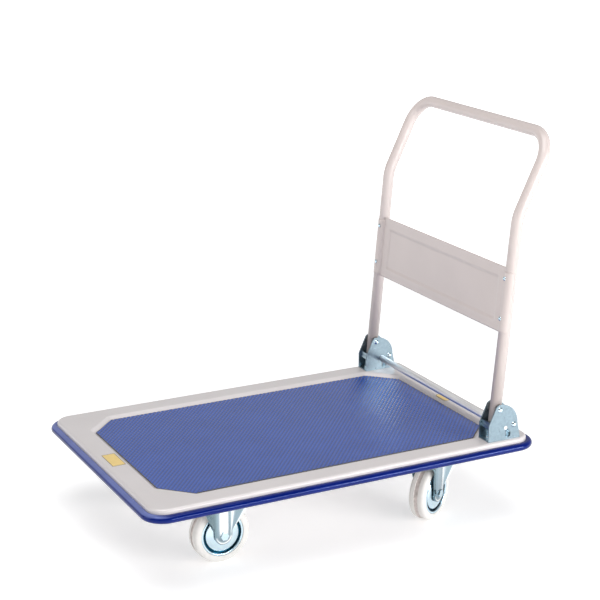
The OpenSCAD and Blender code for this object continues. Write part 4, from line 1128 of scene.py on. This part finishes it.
class TRUCK_OT_bumper(bpy.types.Operator):
    """Fits the bumper strip round the deck"""

    bl_idname = "truck.bumper"
    bl_label = "Bumper"

    def execute(self, context):
        build_bumper(context.scene.truck_deck)
        return {"FINISHED"}


class TRUCK_OT_labels(bpy.types.Operator):
    """Puts the blank label and tag on the rim"""

    bl_idname = "truck.labels"
    bl_label = "Labels"

    def execute(self, context):
        d = context.scene.truck_deck
        build_label("front_label", LABEL_PLACE, d.label_length, d.label_width, d.label_corner, d)
        build_label("rear_tag", TAG_PLACE, d.tag_length, d.tag_width, d.tag_corner, d)
        return {"FINISHED"}


class TRUCK_OT_handle(bpy.types.Operator):
    """Bends the handle tube and presses its panel"""

    bl_idname = "truck.handle"
    bl_label = "Handle"

    def execute(self, context):
        h = context.scene.truck_handle
        build_tube(h)
        build_panel(h)
        dress(["panel_rivets"], "bright_zinc")
        dress(["foot_plugs", "pivot_washers"], "grey_nylon", FINE_EDGE)
        return {"FINISHED"}


class TRUCK_OT_hinges(bpy.types.Operator):
    """Finishes the hinge brackets, the foot bar and its springs"""

    bl_idname = "truck.hinges"
    bl_label = "Hinges"

    def execute(self, context):
        k = context.scene.truck_hinge
        for name in SIDES:
            build_spring(name, k)
            dress(["hinge_bracket_" + name, "stop_bar_" + name], "zinc_plate", k.edge)
            dress(["pivot_rivet_" + name], "bright_zinc")
        dress(["rear_rivets"], "bright_zinc")
        dress(["bracket_bolts", "bracket_nuts"], "bright_zinc", k.edge)
        dress(["pedal_tube", "pedal_pins"], "bright_steel", k.edge)
        return {"FINISHED"}


class TRUCK_OT_wheels(bpy.types.Operator):
    """Builds the four tyres and rims"""

    bl_idname = "truck.wheels"
    bl_label = "Wheels"

    def execute(self, context):
        for end, name, _, _, turn in caster_places():
            build_wheel(end, name, turn, context.scene.truck_caster)
            dress([f"{end}_bearings_{name}"], "bright_steel", FINE_EDGE)
        return {"FINISHED"}


class TRUCK_OT_forks(bpy.types.Operator):
    """Presses the forks and finishes their plates, pins and fasteners"""

    bl_idname = "truck.forks"
    bl_label = "Forks"

    def execute(self, context):
        for end, name, body, origin, turn in caster_places():
            build_fork(end, name, body, origin, turn, context.scene.truck_caster)
        for name in SIDES:
            dress(["swivel_plate_" + name, "swivel_axle_bolt_" + name, "swivel_axle_nut_" + name],
                  "bright_zinc", BOLT_EDGE)
            dress(["kingpin_" + name, "swivel_axle_sleeve_" + name], "bright_steel", FINE_EDGE)
            dress(["swivel_balls_" + name], "bright_steel")
        dress(["fixed_axle_bolts", "fixed_axle_nuts", "caster_bolts", "caster_nuts"],
              "bright_zinc", BOLT_EDGE)
        dress(["fixed_axle_sleeves"], "bright_steel", FINE_EDGE)
        return {"FINISHED"}


class TRUCK_OT_stage(bpy.types.Operator):
    """Sets the floor, the soft lights and the camera"""

    bl_idname = "truck.stage"
    bl_label = "Stage"

    def execute(self, context):
        scene, s = context.scene, context.scene.truck_stage
        mesh = bpy.data.meshes.new("studio_floor")
        reach = 40.0
        mesh.from_pydata([(-reach, -reach, 0), (reach, -reach, 0), (reach, reach, 0), (-reach, reach, 0)],
                         [], [(0, 1, 2, 3)])
        mesh.materials.append(finish_of("studio_floor"))
        floor = bpy.data.objects.new("studio_floor", mesh)
        scene.collection.objects.link(floor)
        soft_light("overhead_softbox", (-0.5, -0.6, 3.4), (0.0, 0.0, 0.2), 2.6, 2.6, s.overhead)
        soft_light("side_softbox", (2.4, -3.4, 1.4), (0.1, 0.0, 0.3), 1.8, 1.8, s.side)
        soft_light("strip_light", (1.3, -3.1, 0.85), (0.1, 0.0, 0.2), 2.6, 0.28, s.strip)
        soft_light("fill_softbox", (-3.4, 0.3, 1.5), (0.2, 0.0, 0.3), 1.8, 1.8, s.fill)
        scene.world = white_dome(s.sky, backdrop=(0.46, 0.86, 0.22))
        lens = bpy.data.cameras.new("photo_camera")
        lens.lens = s.lens
        lens.sensor_width = 36.0
        lens.clip_end = 200.0
        camera = bpy.data.objects.new("photo_camera", lens)
        camera.location = s.place
        camera.rotation_euler = (s.tilt, 0.0, s.turn)
        scene.collection.objects.link(camera)
        scene.camera = camera
        scene.view_settings.view_transform = "Standard"
        return {"FINISHED"}


def white_dome(strength, backdrop):
    """A white world, bright toward the backdrop, dim on the camera's side and pale along the horizon."""
    world = bpy.data.worlds.new("white_dome")
    world.use_nodes = True
    tree = world.node_tree
    way = node(tree, "TexCoord").outputs["Generated"]
    toward = node(tree, "VectorMath", {0: way, 1: backdrop}, operation="DOT_PRODUCT").outputs["Value"]
    sockets = {"Value": toward, "From Min": -1.0, "From Max": 1.0}
    share = node(tree, "MapRange", sockets).outputs["Result"]
    grey = [(0.0, 0.25), (0.5, 0.32), (0.9, 0.85)]
    light = ramp(tree, share, [(at, (v, v, v, 1.0)) for at, v in grey])
    height = node(tree, "SeparateXYZ", {"Vector": way}).outputs["Z"]
    clear, hazy = 0.16, 0.08
    low = node(tree, "MapRange", {"Value": height, "From Min": clear, "From Max": hazy}).outputs["Result"]
    pale = (1.0 / strength, 1.0 / strength, 1.0 / strength, 1.0)
    mixed = node(tree, "Mix", {"Factor": low, 6: light, 7: pale}, data_type="RGBA")
    tree.links.new(mixed.outputs[2], tree.nodes["Background"].inputs["Color"])
    tree.nodes["Background"].inputs["Strength"].default_value = strength
    return world


def soft_light(name, place, target, width, height, power):
    """A rectangular area light that faces a target."""
    data = bpy.data.lights.new(name, "AREA")
    data.shape = "RECTANGLE"
    data.size = width
    data.size_y = height
    data.energy = power
    lamp = bpy.data.objects.new(name, data)
    lamp.location = place
    lamp.rotation_euler = (Vector(target) - Vector(place)).to_track_quat("-Z", "Y").to_euler()
    bpy.context.scene.collection.objects.link(lamp)


PIECES = (TRUCK_OT_stage, TRUCK_OT_deck, TRUCK_OT_mat, TRUCK_OT_bumper, TRUCK_OT_labels, TRUCK_OT_handle,
          TRUCK_OT_hinges, TRUCK_OT_wheels, TRUCK_OT_forks)
GROUPS = {"truck_deck": TRUCK_PG_deck, "truck_handle": TRUCK_PG_handle, "truck_caster": TRUCK_PG_caster,
          "truck_hinge": TRUCK_PG_hinge, "truck_colours": TRUCK_PG_colours, "truck_stage": TRUCK_PG_stage}


class TRUCK_PT_sidebar(bpy.types.Panel):
    """Pieces of the truck and their settings"""

    bl_idname = "TRUCK_PT_sidebar"
    bl_label = "Platform Truck"
    bl_space_type = "VIEW_3D"
    bl_region_type = "UI"
    bl_category = "Truck"

    def draw(self, context):
        for piece in PIECES:
            self.layout.operator(piece.bl_idname)
        for key, group in GROUPS.items():
            box = self.layout.box()
            for name in group.__annotations__:
                box.prop(getattr(context.scene, key), name)


def register():
    for group in GROUPS.values():
        bpy.utils.register_class(group)
    for key, group in GROUPS.items():
        setattr(bpy.types.Scene, key, bpy.props.PointerProperty(type=group))
    for piece in PIECES + (TRUCK_PT_sidebar,):
        bpy.utils.register_class(piece)


def unregister():
    for piece in (TRUCK_PT_sidebar,) + PIECES[::-1]:
        bpy.utils.unregister_class(piece)
    for key, group in GROUPS.items():
        delattr(bpy.types.Scene, key)
        bpy.utils.unregister_class(group)


def main():
    register()
    bpy.ops.truck.stage()
    bpy.ops.truck.deck()
    bpy.ops.truck.mat()
    bpy.ops.truck.bumper()
    bpy.ops.truck.labels()
    bpy.ops.truck.handle()
    bpy.ops.truck.hinges()
    bpy.ops.truck.wheels()
    bpy.ops.truck.forks()


if __name__ == "__main__":
    main()
